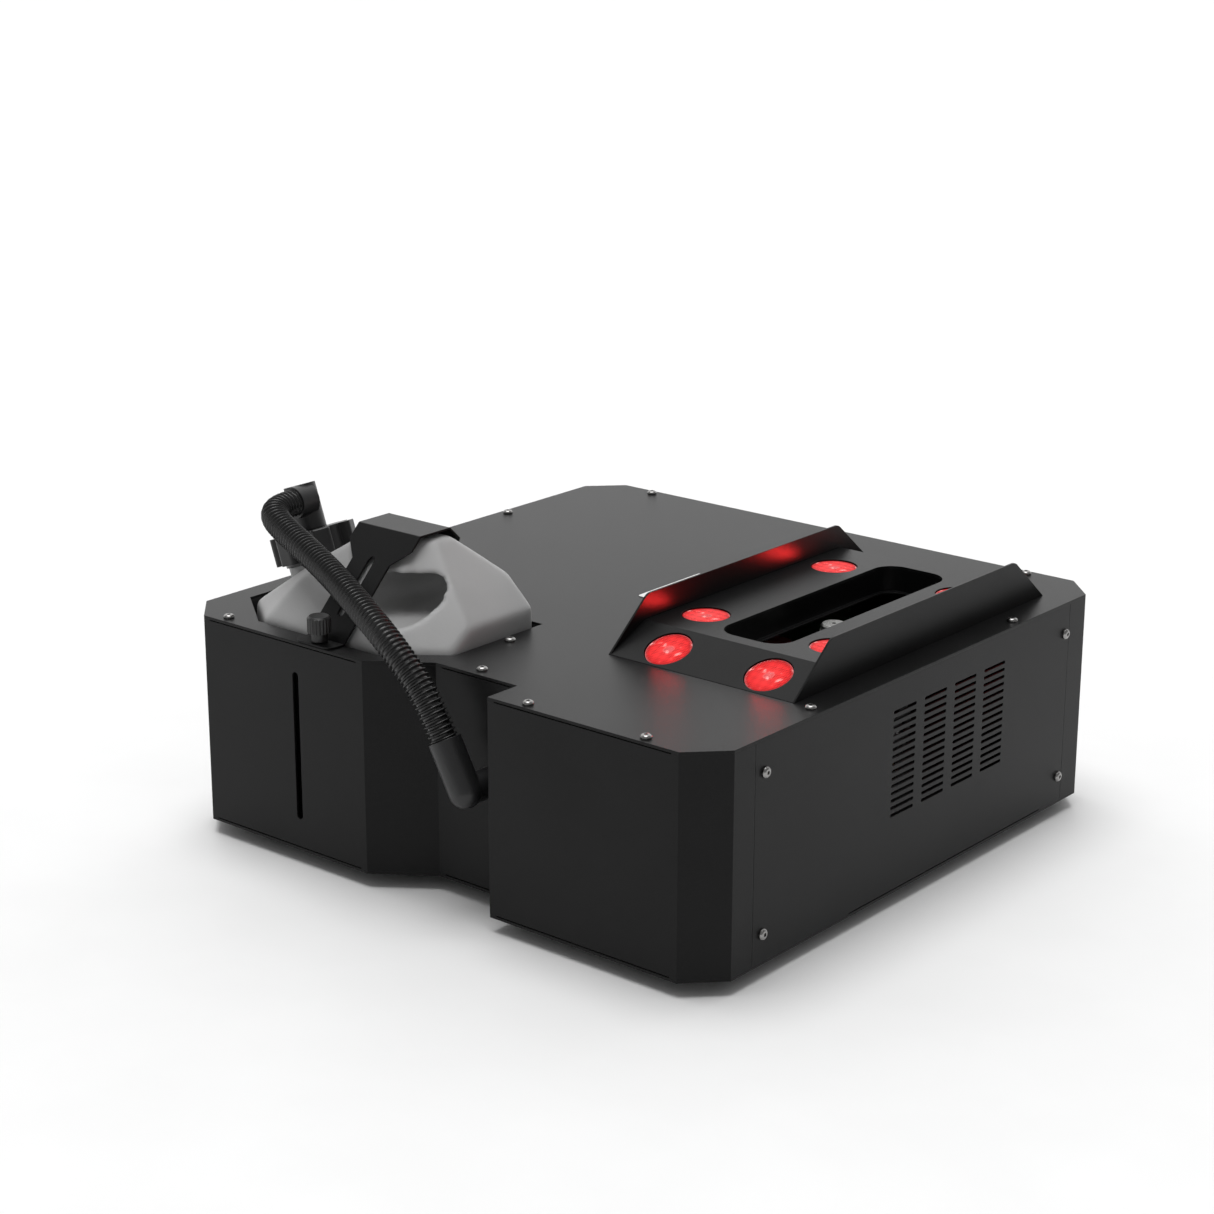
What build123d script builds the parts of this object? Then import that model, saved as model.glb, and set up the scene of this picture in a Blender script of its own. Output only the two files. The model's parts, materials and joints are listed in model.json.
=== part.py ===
"""Fog machine with a tilting fog nozzle, eight lamps and a fluid jug held down by a strap.

Millimetres. +X is to the right, -Y is the front, +Z is up. The origin is on the floor, under the
middle of the casing. Every piece is one named node, written to its own STEP file.
"""

from build123d import *
import math
import os

os.makedirs("parts", exist_ok=True)

# ---------------------------------------------------------------- driving dimensions
CASE_W = 490.0
CASE_D = 484.0
CASE_H = 159.0
CORNER = 25.0
SHEET = 1.5
PLATE = 2.0
LIP_INSET = 1.8
LIP_T = 1.2
LIP_H = 12.0
SEAM_Y = 194.5
SEAM_GAP = 0.3
LINE_GAP = 0.8
LINE_END = 6.0

FOOT_H = 11.0
FOOT_R = 15.0
FOOT_XY = (205.0, 205.0)

NOTCH_X0 = -59.0
NOTCH_X1 = -17.0
NOTCH_X2 = 58.0
NOTCH_DEPTH = 30.0

BAY_T = 1.2
BAY_CLEAR = 4.0
JUG_X0 = -223.0
JUG_X1 = -22.0
JUG_Y0 = -222.0
JUG_Y1 = -103.0
JUG_TOP = 222.5
JUG_FLOOR = 8.0
JUG_WALL = 2.0

POD_X0 = 62.5
POD_X1 = 221.5
POD_Y0 = -121.5
POD_Y1 = 194.3
POD_H = 16.5
POD_RUN = 38.5
WING_H = 35.0
WING_SLOPE = 40.0
WING_R = 10.0

SLOT_X = 145.0
SLOT_W = 57.0
SLOT_Y0 = -71.5
SLOT_Y1 = 142.5
SLOT_R = 17.0
SHROUD_T = 1.2
SHROUD_H = 18.0

LAMP_R = 17.5
LAMP_FRONT_X = (101.0, 187.0)
LAMP_MID_X = (89.7, 200.3)
LAMP_MID_Y = (-46.0, 111.0)
LAMP_SLOPE_S = 20.0

TILT_X = 145.0
TILT_Y = 33.0
TILT_Z = 90.0
TIP_R = 71.0
SHAFT_R = 4.0
RUN_CLEAR = 0.05
GEAR_MODULE = 1.0
GEAR_TEETH = 48
PINION_TEETH = 16
GEAR_W = 6.0

STRAP_T = 1.5
STRAP_X = -109.0
STRAP_W = 36.0
STRAP_WIDE = 61.0
STRAP_TOP = 68.0

HOSE_D = 21.0
SCREW_HEAD_R = 4.0

Z_BASE = FOOT_H
Z_TOP = FOOT_H + CASE_H
Z_WALL = Z_BASE + PLATE
WALL_H = CASE_H - 2 * PLATE
FRONT = -CASE_D / 2
BACK = CASE_D / 2
RIGHT = CASE_W / 2


# ---------------------------------------------------------------- shared outlines
def outline(inset):
    """The casing's plan, with cut corners and the hose notch, moved inwards by inset."""
    c = CORNER
    back_of_notch = FRONT + NOTCH_DEPTH
    with BuildSketch() as plan:
        Polygon(
            (-RIGHT + c, FRONT), (NOTCH_X0, FRONT), (NOTCH_X1, back_of_notch),
            (NOTCH_X2, back_of_notch), (NOTCH_X2, FRONT), (RIGHT - c, FRONT),
            (RIGHT, FRONT + c), (RIGHT, BACK - c), (RIGHT - c, BACK),
            (-RIGHT + c, BACK), (-RIGHT, BACK - c), (-RIGHT, FRONT + c),
            align=None,
        )
        if inset:
            offset(amount=-inset, kind=Kind.INTERSECTION)
    return plan.sketch


def skin(inset, thickness):
    """The casing's plan as a closed strip of sheet, thickness wide."""
    with BuildSketch() as strip:
        add(outline(inset))
        add(outline(inset + thickness), mode=Mode.SUBTRACT)
    return strip.sketch


def jug_plan(grow):
    """The jug's plan, its two front corners cut, moved outwards by grow."""
    with BuildSketch() as plan:
        Polygon(
            (JUG_X0 + 45, JUG_Y0), (JUG_X1 - 40, JUG_Y0), (JUG_X1, JUG_Y0 + 32),
            (JUG_X1, JUG_Y1), (JUG_X0, JUG_Y1), (JUG_X0, JUG_Y0 + 34),
            align=None,
        )
        if grow:
            offset(amount=grow, kind=Kind.INTERSECTION)
    return plan.sketch


def slot_plan(grow):
    """The fog slot's plan, moved outwards by grow."""
    with BuildSketch() as plan:
        with Locations((SLOT_X, (SLOT_Y0 + SLOT_Y1) / 2)):
            RectangleRounded(
                SLOT_W + 2 * grow, SLOT_Y1 - SLOT_Y0 + 2 * grow, SLOT_R + grow
            )
    return plan.sketch


# ---------------------------------------------------------------- casing
COVER_SCREWS = [
    (-202, -234), (88, -235), (188, -235), (18, -203), (-10, -143),
    (235.5, -122), (-237.5, -122), (237.5, 125), (-237.5, 109), (183, 234), (-185, 234), (0, 234),
]

with BuildPart() as base_tray:
    with BuildSketch(Plane.XY.offset(Z_BASE)):
        add(outline(0))
    extrude(amount=PLATE)
    with BuildSketch(Plane.XY.offset(Z_BASE + PLATE)):
        add(skin(LIP_INSET, LIP_T))
    extrude(amount=LIP_H)
    with BuildSketch(Plane.XY.offset(Z_BASE)):
        with Locations((0, 60)):
            with GridLocations(60, 9, 2, 12):
                SlotOverall(44, 4)
    extrude(amount=PLATE, mode=Mode.SUBTRACT)
base_tray.part.label = "base_tray"
export_step(base_tray.part, "parts/base_tray.step")

FACES = [
    (-RIGHT + CORNER, NOTCH_X0, FRONT),
    (NOTCH_X1, NOTCH_X2, FRONT + NOTCH_DEPTH),
    (NOTCH_X2, RIGHT - CORNER, FRONT),
]
BULKHEAD = (33.0, FRONT + NOTCH_DEPTH, Z_BASE + 84.0)
LEVEL_SLOT_X = -126.0

with BuildPart() as front_wall:
    with BuildSketch(Plane.XY.offset(Z_WALL)):
        add(skin(0, SHEET))
        with Locations((0, -SEAM_Y - SEAM_GAP)):
            Rectangle(600, 300, align=(Align.CENTER, Align.MAX), mode=Mode.INTERSECT)
    extrude(amount=WALL_H)
    for x0, x1, y in FACES:
        line_length = x1 - x0 - 2 * LINE_END
        for z in (Z_WALL + LINE_GAP / 2, Z_WALL + WALL_H - LINE_GAP / 2):
            with Locations(((x0 + x1) / 2, y + SHEET / 2, z)):
                Box(line_length, 2 * SHEET, LINE_GAP, mode=Mode.SUBTRACT)
    with BuildSketch(Plane.XZ.offset(-FRONT)):
        with Locations((LEVEL_SLOT_X, Z_BASE + 80)):
            SlotOverall(112, 6, rotation=90)
    extrude(amount=-SHEET, mode=Mode.SUBTRACT)
    with BuildSketch(Plane.XZ.offset(-BULKHEAD[1])):
        with Locations((BULKHEAD[0], BULKHEAD[2])):
            Circle(8.2)
    extrude(amount=-SHEET, mode=Mode.SUBTRACT)
front_wall.part.label = "front_wall"
export_step(front_wall.part, "parts/front_wall.step")

FAN_X = -120.0
FAN_Z = Z_BASE + 82.0
FAN_OPEN_R = 37.0
DISPLAY = (-12.0, Z_BASE + 105.0)
DISPLAY_SIZE = (62.0, 30.0)
BUTTON_X = [DISPLAY[0] + offset_x for offset_x in (-24.0, -8.0, 8.0, 24.0)]
BUTTON_Z = Z_BASE + 76.0
BUTTON_R = 4.5
SIGNAL_X = (58.0, 96.0)
SIGNAL_Z = Z_BASE + 90.0
SIGNAL_R = 11.9
MAINS_X = 165.0
MAINS_Z = Z_BASE + 70.0
MAINS_SIZE = (28.0, 66.0)

with BuildPart() as rear_wall:
    with BuildSketch(Plane.XY.offset(Z_WALL)):
        add(skin(0, SHEET))
        with Locations((0, SEAM_Y + SEAM_GAP)):
            Rectangle(600, 300, align=(Align.CENTER, Align.MIN), mode=Mode.INTERSECT)
    extrude(amount=WALL_H)
    for z in (Z_WALL + LINE_GAP / 2, Z_WALL + WALL_H - LINE_GAP / 2):
        with Locations((0, BACK - SHEET / 2, z)):
            Box(CASE_W - 2 * CORNER - 2 * LINE_END, 2 * SHEET, LINE_GAP, mode=Mode.SUBTRACT)
    with BuildSketch(Plane.XZ.offset(-BACK)):
        with Locations((FAN_X, FAN_Z)):
            Circle(FAN_OPEN_R)
        with Locations(DISPLAY):
            RectangleRounded(*DISPLAY_SIZE, 2)
        with Locations(*[(x, BUTTON_Z) for x in BUTTON_X]):
            Circle(BUTTON_R + 0.3)
        with Locations(*[(x, SIGNAL_Z) for x in SIGNAL_X]):
            Circle(SIGNAL_R)
        with Locations((MAINS_X, MAINS_Z)):
            Rectangle(*MAINS_SIZE)
    extrude(amount=SHEET, mode=Mode.SUBTRACT)
rear_wall.part.label = "rear_wall"
export_step(rear_wall.part, "parts/rear_wall.step")

VENT_W = 28.0
VENT_H = 2.4
VENT_CENTRE = (34.0, Z_BASE + 97.0)
VENT_PITCH = (38.2, 5.4)
VENT_COUNT = (4, 15)
SIDE_SCREWS = [(y, Z_BASE + z) for y in (-184.0, 189.0) for z in (22.0, 135.0)]

for side, name in ((1, "right_side_panel"), (-1, "left_side_panel")):
    with BuildPart() as side_panel:
        with BuildSketch(Plane.YZ.offset(side * RIGHT)):
            with Locations((0, Z_WALL + WALL_H / 2)):
                Rectangle(2 * SEAM_Y, WALL_H)
            with Locations((40, Z_WALL + LINE_GAP / 2)):
                Rectangle(2 * SEAM_Y - 140, LINE_GAP, mode=Mode.SUBTRACT)
            with Locations(VENT_CENTRE):
                with GridLocations(*VENT_PITCH, *VENT_COUNT):
                    SlotOverall(VENT_W, VENT_H, mode=Mode.SUBTRACT)
            with Locations(*SIDE_SCREWS):
                Circle(2.2, mode=Mode.SUBTRACT)
        extrude(amount=-side * SHEET)
    side_panel.part.label = name
    export_step(side_panel.part, f"parts/{name}.step")

STRAP_SCREW = (STRAP_X, -233.4)
REAR_TAB_Y = -61.5
POD_HOLE_CLEAR = 2.0

with BuildPart() as top_cover:
    with BuildSketch(Plane.XY.offset(Z_TOP)):
        add(outline(0))
        add(jug_plan(BAY_CLEAR), mode=Mode.SUBTRACT)
        with Locations(((POD_X0 + POD_X1) / 2, (POD_Y0 + POD_Y1) / 2)):
            Rectangle(
                POD_X1 - POD_X0 - 2 * POD_HOLE_CLEAR,
                POD_Y1 - POD_Y0 - 2 * POD_HOLE_CLEAR,
                mode=Mode.SUBTRACT,
            )
        with Locations(*COVER_SCREWS):
            Circle(2.2, mode=Mode.SUBTRACT)
        with Locations(STRAP_SCREW):
            Circle(2.7, mode=Mode.SUBTRACT)
        with Locations((STRAP_X, REAR_TAB_Y)):
            Rectangle(STRAP_W + 2, 3.0, mode=Mode.SUBTRACT)
    extrude(amount=-PLATE)
    with BuildSketch(Plane.XY.offset(Z_TOP - PLATE)):
        add(skin(LIP_INSET, LIP_T))
    extrude(amount=-LIP_H)
top_cover.part.label = "top_cover"
export_step(top_cover.part, "parts/top_cover.step")

BAY_Z0 = Z_BASE + PLATE + 1.0
BAY_Z1 = Z_TOP - PLATE

with BuildPart() as bottle_bay:
    with BuildSketch(Plane.XY.offset(BAY_Z0)):
        add(jug_plan(BAY_CLEAR + BAY_T))
    extrude(amount=BAY_Z1 - BAY_Z0)
    with BuildSketch(Plane.XY.offset(BAY_Z0 + BAY_T)):
        add(jug_plan(BAY_CLEAR))
    extrude(amount=CASE_H, mode=Mode.SUBTRACT)
    with BuildSketch(Plane.XZ.offset(-JUG_Y0 + BAY_CLEAR - 1)):
        with Locations((LEVEL_SLOT_X, Z_BASE + 80)):
            SlotOverall(112, 6, rotation=90)
    extrude(amount=20, mode=Mode.SUBTRACT)
bottle_bay.part.label = "bottle_bay"
export_step(bottle_bay.part, "parts/bottle_bay.step")

with BuildPart() as feet:
    with Locations(*[(i * FOOT_XY[0], j * FOOT_XY[1], 0) for i in (-1, 1) for j in (-1, 1)]):
        Cone(FOOT_R - 3, FOOT_R, FOOT_H, align=(Align.CENTER, Align.CENTER, Align.MIN))
    fillet(feet.edges().group_by(Axis.Z)[0], 2.5)
    with Locations(*[(i * FOOT_XY[0], j * FOOT_XY[1], 0) for i in (-1, 1) for j in (-1, 1)]):
        Cylinder(3.5, 5.0, align=(Align.CENTER, Align.CENTER, Align.MIN), mode=Mode.SUBTRACT)
feet.part.label = "feet"
export_step(feet.part, "parts/feet.step")

with BuildPart() as pan_screw:
    with BuildSketch(Plane.XZ):
        with BuildLine():
            Polyline((0, -7), (1.95, -7), (1.95, 0), (SCREW_HEAD_R, 0), (SCREW_HEAD_R, 1.2))
            ThreePointArc((SCREW_HEAD_R, 1.2), (3.2, 2.3), (1.6, 2.7))
            Polyline((1.6, 2.7), (0, 2.7), (0, -7))
        make_face()
    revolve(axis=Axis.Z)
    with BuildSketch(Plane.XY.offset(2.7)):
        RegularPolygon(1.45, 6)
    extrude(amount=-1.6, mode=Mode.SUBTRACT)

with BuildPart() as case_screws:
    with Locations(*[(x, y, Z_TOP) for x, y in COVER_SCREWS]):
        add(pan_screw.part)
    for side in (-1, 1):
        with Locations(*[Location((side * RIGHT, y, z), (0, side * 90, 0)) for y, z in SIDE_SCREWS]):
            add(pan_screw.part)
case_screws.part.label = "case_screws"
export_step(case_screws.part, "parts/case_screws.step")

# ---------------------------------------------------------------- lamp pod
SLOPE = math.degrees(math.atan2(POD_H, POD_RUN))
SLOPE_RAD = math.radians(SLOPE)
Z_POD = Z_TOP + POD_H


def pod_profile(below):
    """The pod's side view: a front slope, a flat top and a rear slope, run on below the cover."""
    spread = below * POD_RUN / POD_H
    with BuildSketch() as profile:
        Polygon(
            (POD_Y0 - spread, Z_TOP - below), (POD_Y0 + POD_RUN, Z_POD),
            (POD_Y1 - POD_RUN, Z_POD), (POD_Y1 + spread, Z_TOP - below),
            align=None,
        )
    return profile.sketch


def slope_plane(x, rear):
    """A plane on the pod's front or rear slope at a lamp's centre, its normal outwards."""
    sign = 1 if rear else -1
    foot_y = POD_Y1 if rear else POD_Y0
    y = foot_y - sign * LAMP_SLOPE_S * math.cos(SLOPE_RAD)
    z = Z_TOP + LAMP_SLOPE_S * math.sin(SLOPE_RAD)
    normal = (0, sign * math.sin(SLOPE_RAD), math.cos(SLOPE_RAD))
    return Plane(origin=(x, y, z), x_dir=(1, 0, 0), z_dir=normal)


LAMPS = [slope_plane(x, False) for x in LAMP_FRONT_X]
LAMPS += [
    Plane(origin=(x, y, Z_POD), x_dir=(1, 0, 0), z_dir=(0, 0, 1))
    for y in LAMP_MID_Y
    for x in LAMP_MID_X
]
LAMPS += [slope_plane(x, True) for x in LAMP_FRONT_X]

with BuildPart() as led_pod:
    with BuildSketch(Plane.YZ.offset(POD_X0 + SHEET)):
        add(pod_profile(0))
        with BuildSketch(mode=Mode.SUBTRACT):
            add(pod_profile(10))
            offset(amount=-SHEET, kind=Kind.INTERSECTION)
    extrude(amount=POD_X1 - POD_X0 - 2 * SHEET)
    with BuildSketch(Plane.XY.offset(Z_POD)):
        add(slot_plan(0))
    extrude(amount=-POD_H, mode=Mode.SUBTRACT)
    for lamp in LAMPS:
        with BuildSketch(lamp):
            Circle(LAMP_R)
        extrude(amount=-4, both=True, mode=Mode.SUBTRACT)
led_pod.part.label = "led_pod"
export_step(led_pod.part, "parts/led_pod.step")

WING_RUN = WING_H / math.tan(math.radians(WING_SLOPE))

for name, x in (("wing_left", POD_X0), ("wing_right", POD_X1 - SHEET)):
    with BuildPart() as wing:
        with BuildSketch(Plane.YZ.offset(x)):
            Polygon(
                (POD_Y0, Z_TOP), (POD_Y0 + WING_RUN, Z_TOP + WING_H),
                (POD_Y1 - WING_RUN, Z_TOP + WING_H), (POD_Y1, Z_TOP),
                align=None,
            )
        extrude(amount=SHEET)
        fillet(wing.edges().filter_by(Axis.X).group_by(Axis.Z)[-1], WING_R)
    wing.part.label = name
    export_step(wing.part, f"parts/{name}.step")

with BuildPart() as slot_shroud:
    with BuildSketch(Plane.XY.offset(Z_POD - SHEET)):
        add(slot_plan(5))
        add(slot_plan(0), mode=Mode.SUBTRACT)
    extrude(amount=-SHROUD_T)
    with BuildSketch(Plane.XY.offset(Z_POD - SHEET)):
        add(slot_plan(SHROUD_T))
        add(slot_plan(0), mode=Mode.SUBTRACT)
    extrude(amount=-SHROUD_H)
    with BuildSketch(Plane.XY.offset(Z_POD - SHEET - SHROUD_H)):
        add(slot_plan(SHROUD_T))
        add(slot_plan(-4), mode=Mode.SUBTRACT)
    extrude(amount=-SHROUD_T)
slot_shroud.part.label = "slot_shroud"
export_step(slot_shroud.part, "parts/slot_shroud.step")

LENS_R = LAMP_R - 0.6
LENS_DEPTH = 15.0
LENS_BACK_R = 8.0

for number, lamp in enumerate(LAMPS, start=1):
    with BuildPart(lamp) as lens:
        with BuildSketch(lamp.offset(-0.9)):
            Circle(LENS_R)
        extrude(amount=-1.4)
        with BuildSketch(lamp.offset(-2.3)):
            Circle(LENS_R)
        with BuildSketch(lamp.offset(-LENS_DEPTH)):
            Circle(LENS_BACK_R)
        loft()
    lens.part.label = f"lens_{number}"
    export_step(lens.part, f"parts/lens_{number}.step")

with BuildPart() as led_boards:
    for lamp in LAMPS:
        with BuildSketch(lamp.offset(-LENS_DEPTH - 0.2)):
            Circle(12)
        extrude(amount=-1.6)
led_boards.part.label = "led_boards"
export_step(led_boards.part, "parts/led_boards.step")

# ---------------------------------------------------------------- jug and its strap
JUG_Z0 = Z_BASE + JUG_FLOOR
NECK_TILT = 19.4
NECK_AXIS = (-math.sin(math.radians(NECK_TILT)), 0, math.cos(math.radians(NECK_TILT)))
NECK_Y = -147.0
CAP_CENTRE = (-199.6, NECK_Y, Z_BASE + 193.0)
CAP_HALF = 14.0
CAP_LOW = -9.5
NECK_R = 21.0
CAP_R = 25.0
CAP_LOBE_R = 32.0
LOBES = 6
ELBOW_R = 12.0
JUG_TOP_Z = Z_BASE + JUG_TOP

# Each shoulder of the jug: a point on it and its outward normal.
SHOULDERS = [
    ((0, JUG_Y0, Z_BASE + 160.5), (0, -1, 1)),
    ((0, JUG_Y1, Z_BASE + 193.0), (0, 1, 1)),
    ((JUG_X1, 0, Z_BASE + 172.0), (0.95, 0, 1)),
    ((JUG_X0, 0, Z_BASE + 155.0), (-0.727, 0, 1)),
    ((JUG_X0, -190, Z_BASE + 158.0), (-0.58, -0.77, 1)),
    ((JUG_X1, -190, Z_BASE + 158.0), (0.62, -0.75, 1)),
]
HANDLE_CENTRE = (-78.0, Z_BASE + 187.0)
HANDLE_SIZE = (56.0, 30.0)


def along_neck(distance):
    """A plane across the jug's neck, at a distance from the cap's middle towards its top."""
    origin = tuple(c + a * distance for c, a in zip(CAP_CENTRE, NECK_AXIS))
    return Plane(origin=origin, x_dir=(0, 1, 0), z_dir=NECK_AXIS)


def jug_body(inset):
    """The jug's body, its wall moved inwards by inset, with the hand hole through it."""
    with BuildPart() as body:
        with BuildSketch(Plane.XY.offset(JUG_Z0 + inset)):
            add(jug_plan(-inset))
        extrude(amount=JUG_TOP_Z - JUG_Z0 - 2 * inset)
        for point, normal in SHOULDERS:
            cut = Plane(origin=point, z_dir=normal).offset(-inset)
            split(bisect_by=cut, keep=Keep.BOTTOM)
        with BuildSketch(Plane.XZ.offset(-JUG_Y0 + 1)):
            with Locations(HANDLE_CENTRE):
                SlotOverall(HANDLE_SIZE[0] + 2 * inset, HANDLE_SIZE[1] + 2 * inset)
        extrude(amount=-(JUG_Y1 - JUG_Y0 + 2), mode=Mode.SUBTRACT)
    return body.part


with BuildPart() as jug:
    add(jug_body(0))
    with BuildSketch(along_neck(-40)):
        Circle(NECK_R)
    extrude(amount=40 + CAP_HALF - 4)
    add(jug_body(JUG_WALL), mode=Mode.SUBTRACT)
    with BuildSketch(along_neck(-40)):
        Circle(NECK_R - JUG_WALL)
    extrude(amount=80, mode=Mode.SUBTRACT)
jug.part.label = "jug"
export_step(jug.part, "parts/jug.step")

PICKUP_R = 4.0
PICKUP_LENGTH = 178.0
FLUID_LEVEL = Z_BASE + 150.0

with BuildPart() as fog_fluid:
    add(jug_body(JUG_WALL + 0.1))
    split(bisect_by=Plane.XY.offset(FLUID_LEVEL), keep=Keep.BOTTOM)
    with BuildSketch(along_neck(CAP_HALF)):
        Circle(PICKUP_R + 0.1)
    extrude(amount=-PICKUP_LENGTH, mode=Mode.SUBTRACT)
fog_fluid.part.label = "fog_fluid"
export_step(fog_fluid.part, "parts/fog_fluid.step")

with BuildPart() as jug_cap:
    with BuildSketch(along_neck(CAP_LOW)):
        Circle(CAP_R)
    extrude(amount=CAP_HALF - CAP_LOW)
    with BuildSketch(along_neck(-CAP_HALF + 7)):
        with PolarLocations(CAP_LOBE_R - 9, LOBES):
            RectangleRounded(18, 15, 3)
    extrude(amount=2 * CAP_HALF - 7)
    fillet(jug_cap.faces().sort_by(Axis.Z)[-1].edges(), 1.5)
    with BuildSketch(along_neck(-CAP_HALF)):
        Circle(NECK_R + 0.2)
    extrude(amount=2 * CAP_HALF - 3, mode=Mode.SUBTRACT)
    with BuildSketch(along_neck(CAP_HALF - 3)):
        Circle(ELBOW_R - 3 + RUN_CLEAR)
    extrude(amount=10, mode=Mode.SUBTRACT)
jug_cap.part.label = "jug_cap"
export_step(jug_cap.part, "parts/jug_cap.step")

HOSE_ROUTE = [
    (-207.0, -162.0, 229.0),
    (-207.0, -177.0, 229.0),
    (-199.0, -189.5, 226.0),
    (-180.0, -196.0, 220.5),
    (-150.0, -204.0, 213.5),
    (-115.0, -214.5, 205.0),
    (-79.0, -227.0, 195.0),
    (-46.0, -237.0, 183.0),
    (-24.0, -240.0, 169.0),
    (-6.0, -240.0, 152.0),
    (6.0, -239.5, 134.5),
    (14.6, -238.0, 117.2),
]
ROUTE = [Vector(x, y, z + Z_BASE) for x, y, z in HOSE_ROUTE]


def corner_radii(points):
    """The bend at each inner point of a route, as large as its two runs allow."""
    radii = []
    for before, here, after in zip(points, points[1:], points[2:]):
        run_in = here - before
        run_out = after - here
        half_turn = math.radians(run_in.get_angle(run_out) / 2)
        shorter = min(run_in.length, run_out.length)
        radii.append(0.45 * shorter / math.tan(half_turn))
    return radii


HOSE_RADII = corner_radii(ROUTE)
print("hose bend radii", [round(radius, 1) for radius in HOSE_RADII])

with BuildPart() as hose:
    with BuildLine() as hose_line:
        FilletPolyline(*ROUTE, radius=HOSE_RADII)
    hose_start = Plane(origin=ROUTE[0], z_dir=ROUTE[1] - ROUTE[0])
    with BuildSketch(hose_start):
        Circle(HOSE_D / 2)
    sweep(path=hose_line.wires()[0])
HOSE_LENGTH = hose_line.wires()[0].length
HOSE_SECTION = math.pi * (HOSE_D / 2) ** 2
print("hose length", round(HOSE_LENGTH, 1), "volume", round(hose.part.volume),
      "section times length", round(HOSE_SECTION * HOSE_LENGTH))
hose.part.label = "hose"
export_step(hose.part, "parts/hose.step")

MOUTH = Plane(origin=ROUTE[0], z_dir=ROUTE[0] - ROUTE[1])
ELBOW_LEG_TOP = Vector(-207.0, NECK_Y, 229.0 + Z_BASE)
LEG_OFFSET = (ELBOW_LEG_TOP - Vector(*CAP_CENTRE)).dot(Vector(*NECK_AXIS))

with BuildPart() as cap_elbow:
    with BuildSketch(along_neck(CAP_HALF + 0.3)):
        Circle(ELBOW_R)
    extrude(amount=LEG_OFFSET - CAP_HALF - 0.3 + ELBOW_R)
    with BuildSketch(MOUTH):
        Circle(ELBOW_R)
    extrude(amount=ROUTE[0].Y * -1 + NECK_Y + 1)
    with BuildSketch(along_neck(CAP_HALF + 0.3)):
        Circle(ELBOW_R - 3)
    extrude(amount=-6)
    with BuildSketch(along_neck(CAP_HALF - 6)):
        Circle(PICKUP_R + 0.02)
    extrude(amount=LEG_OFFSET - CAP_HALF + 6, mode=Mode.SUBTRACT)
cap_elbow.part.label = "cap_elbow"
export_step(cap_elbow.part, "parts/cap_elbow.step")

with BuildPart() as pickup_tube:
    with BuildSketch(along_neck(LEG_OFFSET - 1)):
        Circle(PICKUP_R)
        Circle(PICKUP_R - 1, mode=Mode.SUBTRACT)
    extrude(amount=-(LEG_OFFSET - 1 - CAP_HALF + PICKUP_LENGTH - 1))
pickup_tube.part.label = "pickup_tube"
export_step(pickup_tube.part, "parts/pickup_tube.step")

SLEEVE_R = 11.7
HOSE_ELBOW = Vector(33.0, -238.0, Z_BASE + 84.0)
SLEEVE_END = ROUTE[-1]
BRANCH_R = 10.5

with BuildPart() as hose_elbow:
    sleeve_plane = Plane(origin=SLEEVE_END, z_dir=HOSE_ELBOW - SLEEVE_END)
    with BuildSketch(sleeve_plane):
        Circle(SLEEVE_R)
    extrude(amount=(HOSE_ELBOW - SLEEVE_END).length)
    with Locations(HOSE_ELBOW):
        Sphere(SLEEVE_R)
    branch_plane = Plane(origin=HOSE_ELBOW, z_dir=(0, 1, 0))
    with BuildSketch(branch_plane):
        Circle(BRANCH_R)
    extrude(amount=BULKHEAD[1] - HOSE_ELBOW.Y - 3.2)
hose_elbow.part.label = "hose_elbow"
export_step(hose_elbow.part, "parts/hose_elbow.step")

with BuildPart() as bulkhead_fitting:
    with BuildSketch(Plane(origin=(BULKHEAD[0], BULKHEAD[1] - 3.1, BULKHEAD[2]), z_dir=(0, 1, 0))):
        RegularPolygon(12.5, 6)
    extrude(amount=3)
    with BuildSketch(Plane(origin=(BULKHEAD[0], BULKHEAD[1] - 0.1, BULKHEAD[2]), z_dir=(0, 1, 0))):
        Circle(8)
    extrude(amount=13)
    with BuildSketch(Plane(origin=(BULKHEAD[0], BULKHEAD[1] + SHEET + 0.1, BULKHEAD[2]), z_dir=(0, 1, 0))):
        RegularPolygon(12.5, 6)
    extrude(amount=5)
bulkhead_fitting.part.label = "bulkhead_fitting"
export_step(bulkhead_fitting.part, "parts/bulkhead_fitting.step")

# The strap's side view: a front leg up the jug's shoulder, a flat top, and a rear leg with a hook.
STRAP_Z = Z_TOP + STRAP_TOP
FOOT_Y0 = -241.5
LEG_Y0 = -227.0
TOP_Y0 = LEG_Y0 + STRAP_TOP - STRAP_T
TOP_Y1 = TOP_Y0 + 30.0
LEG_Y1 = TOP_Y1 + STRAP_TOP + 0.5
STRAP_STEP_Z = (Z_TOP + 48.0, Z_TOP + 58.0)

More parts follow.
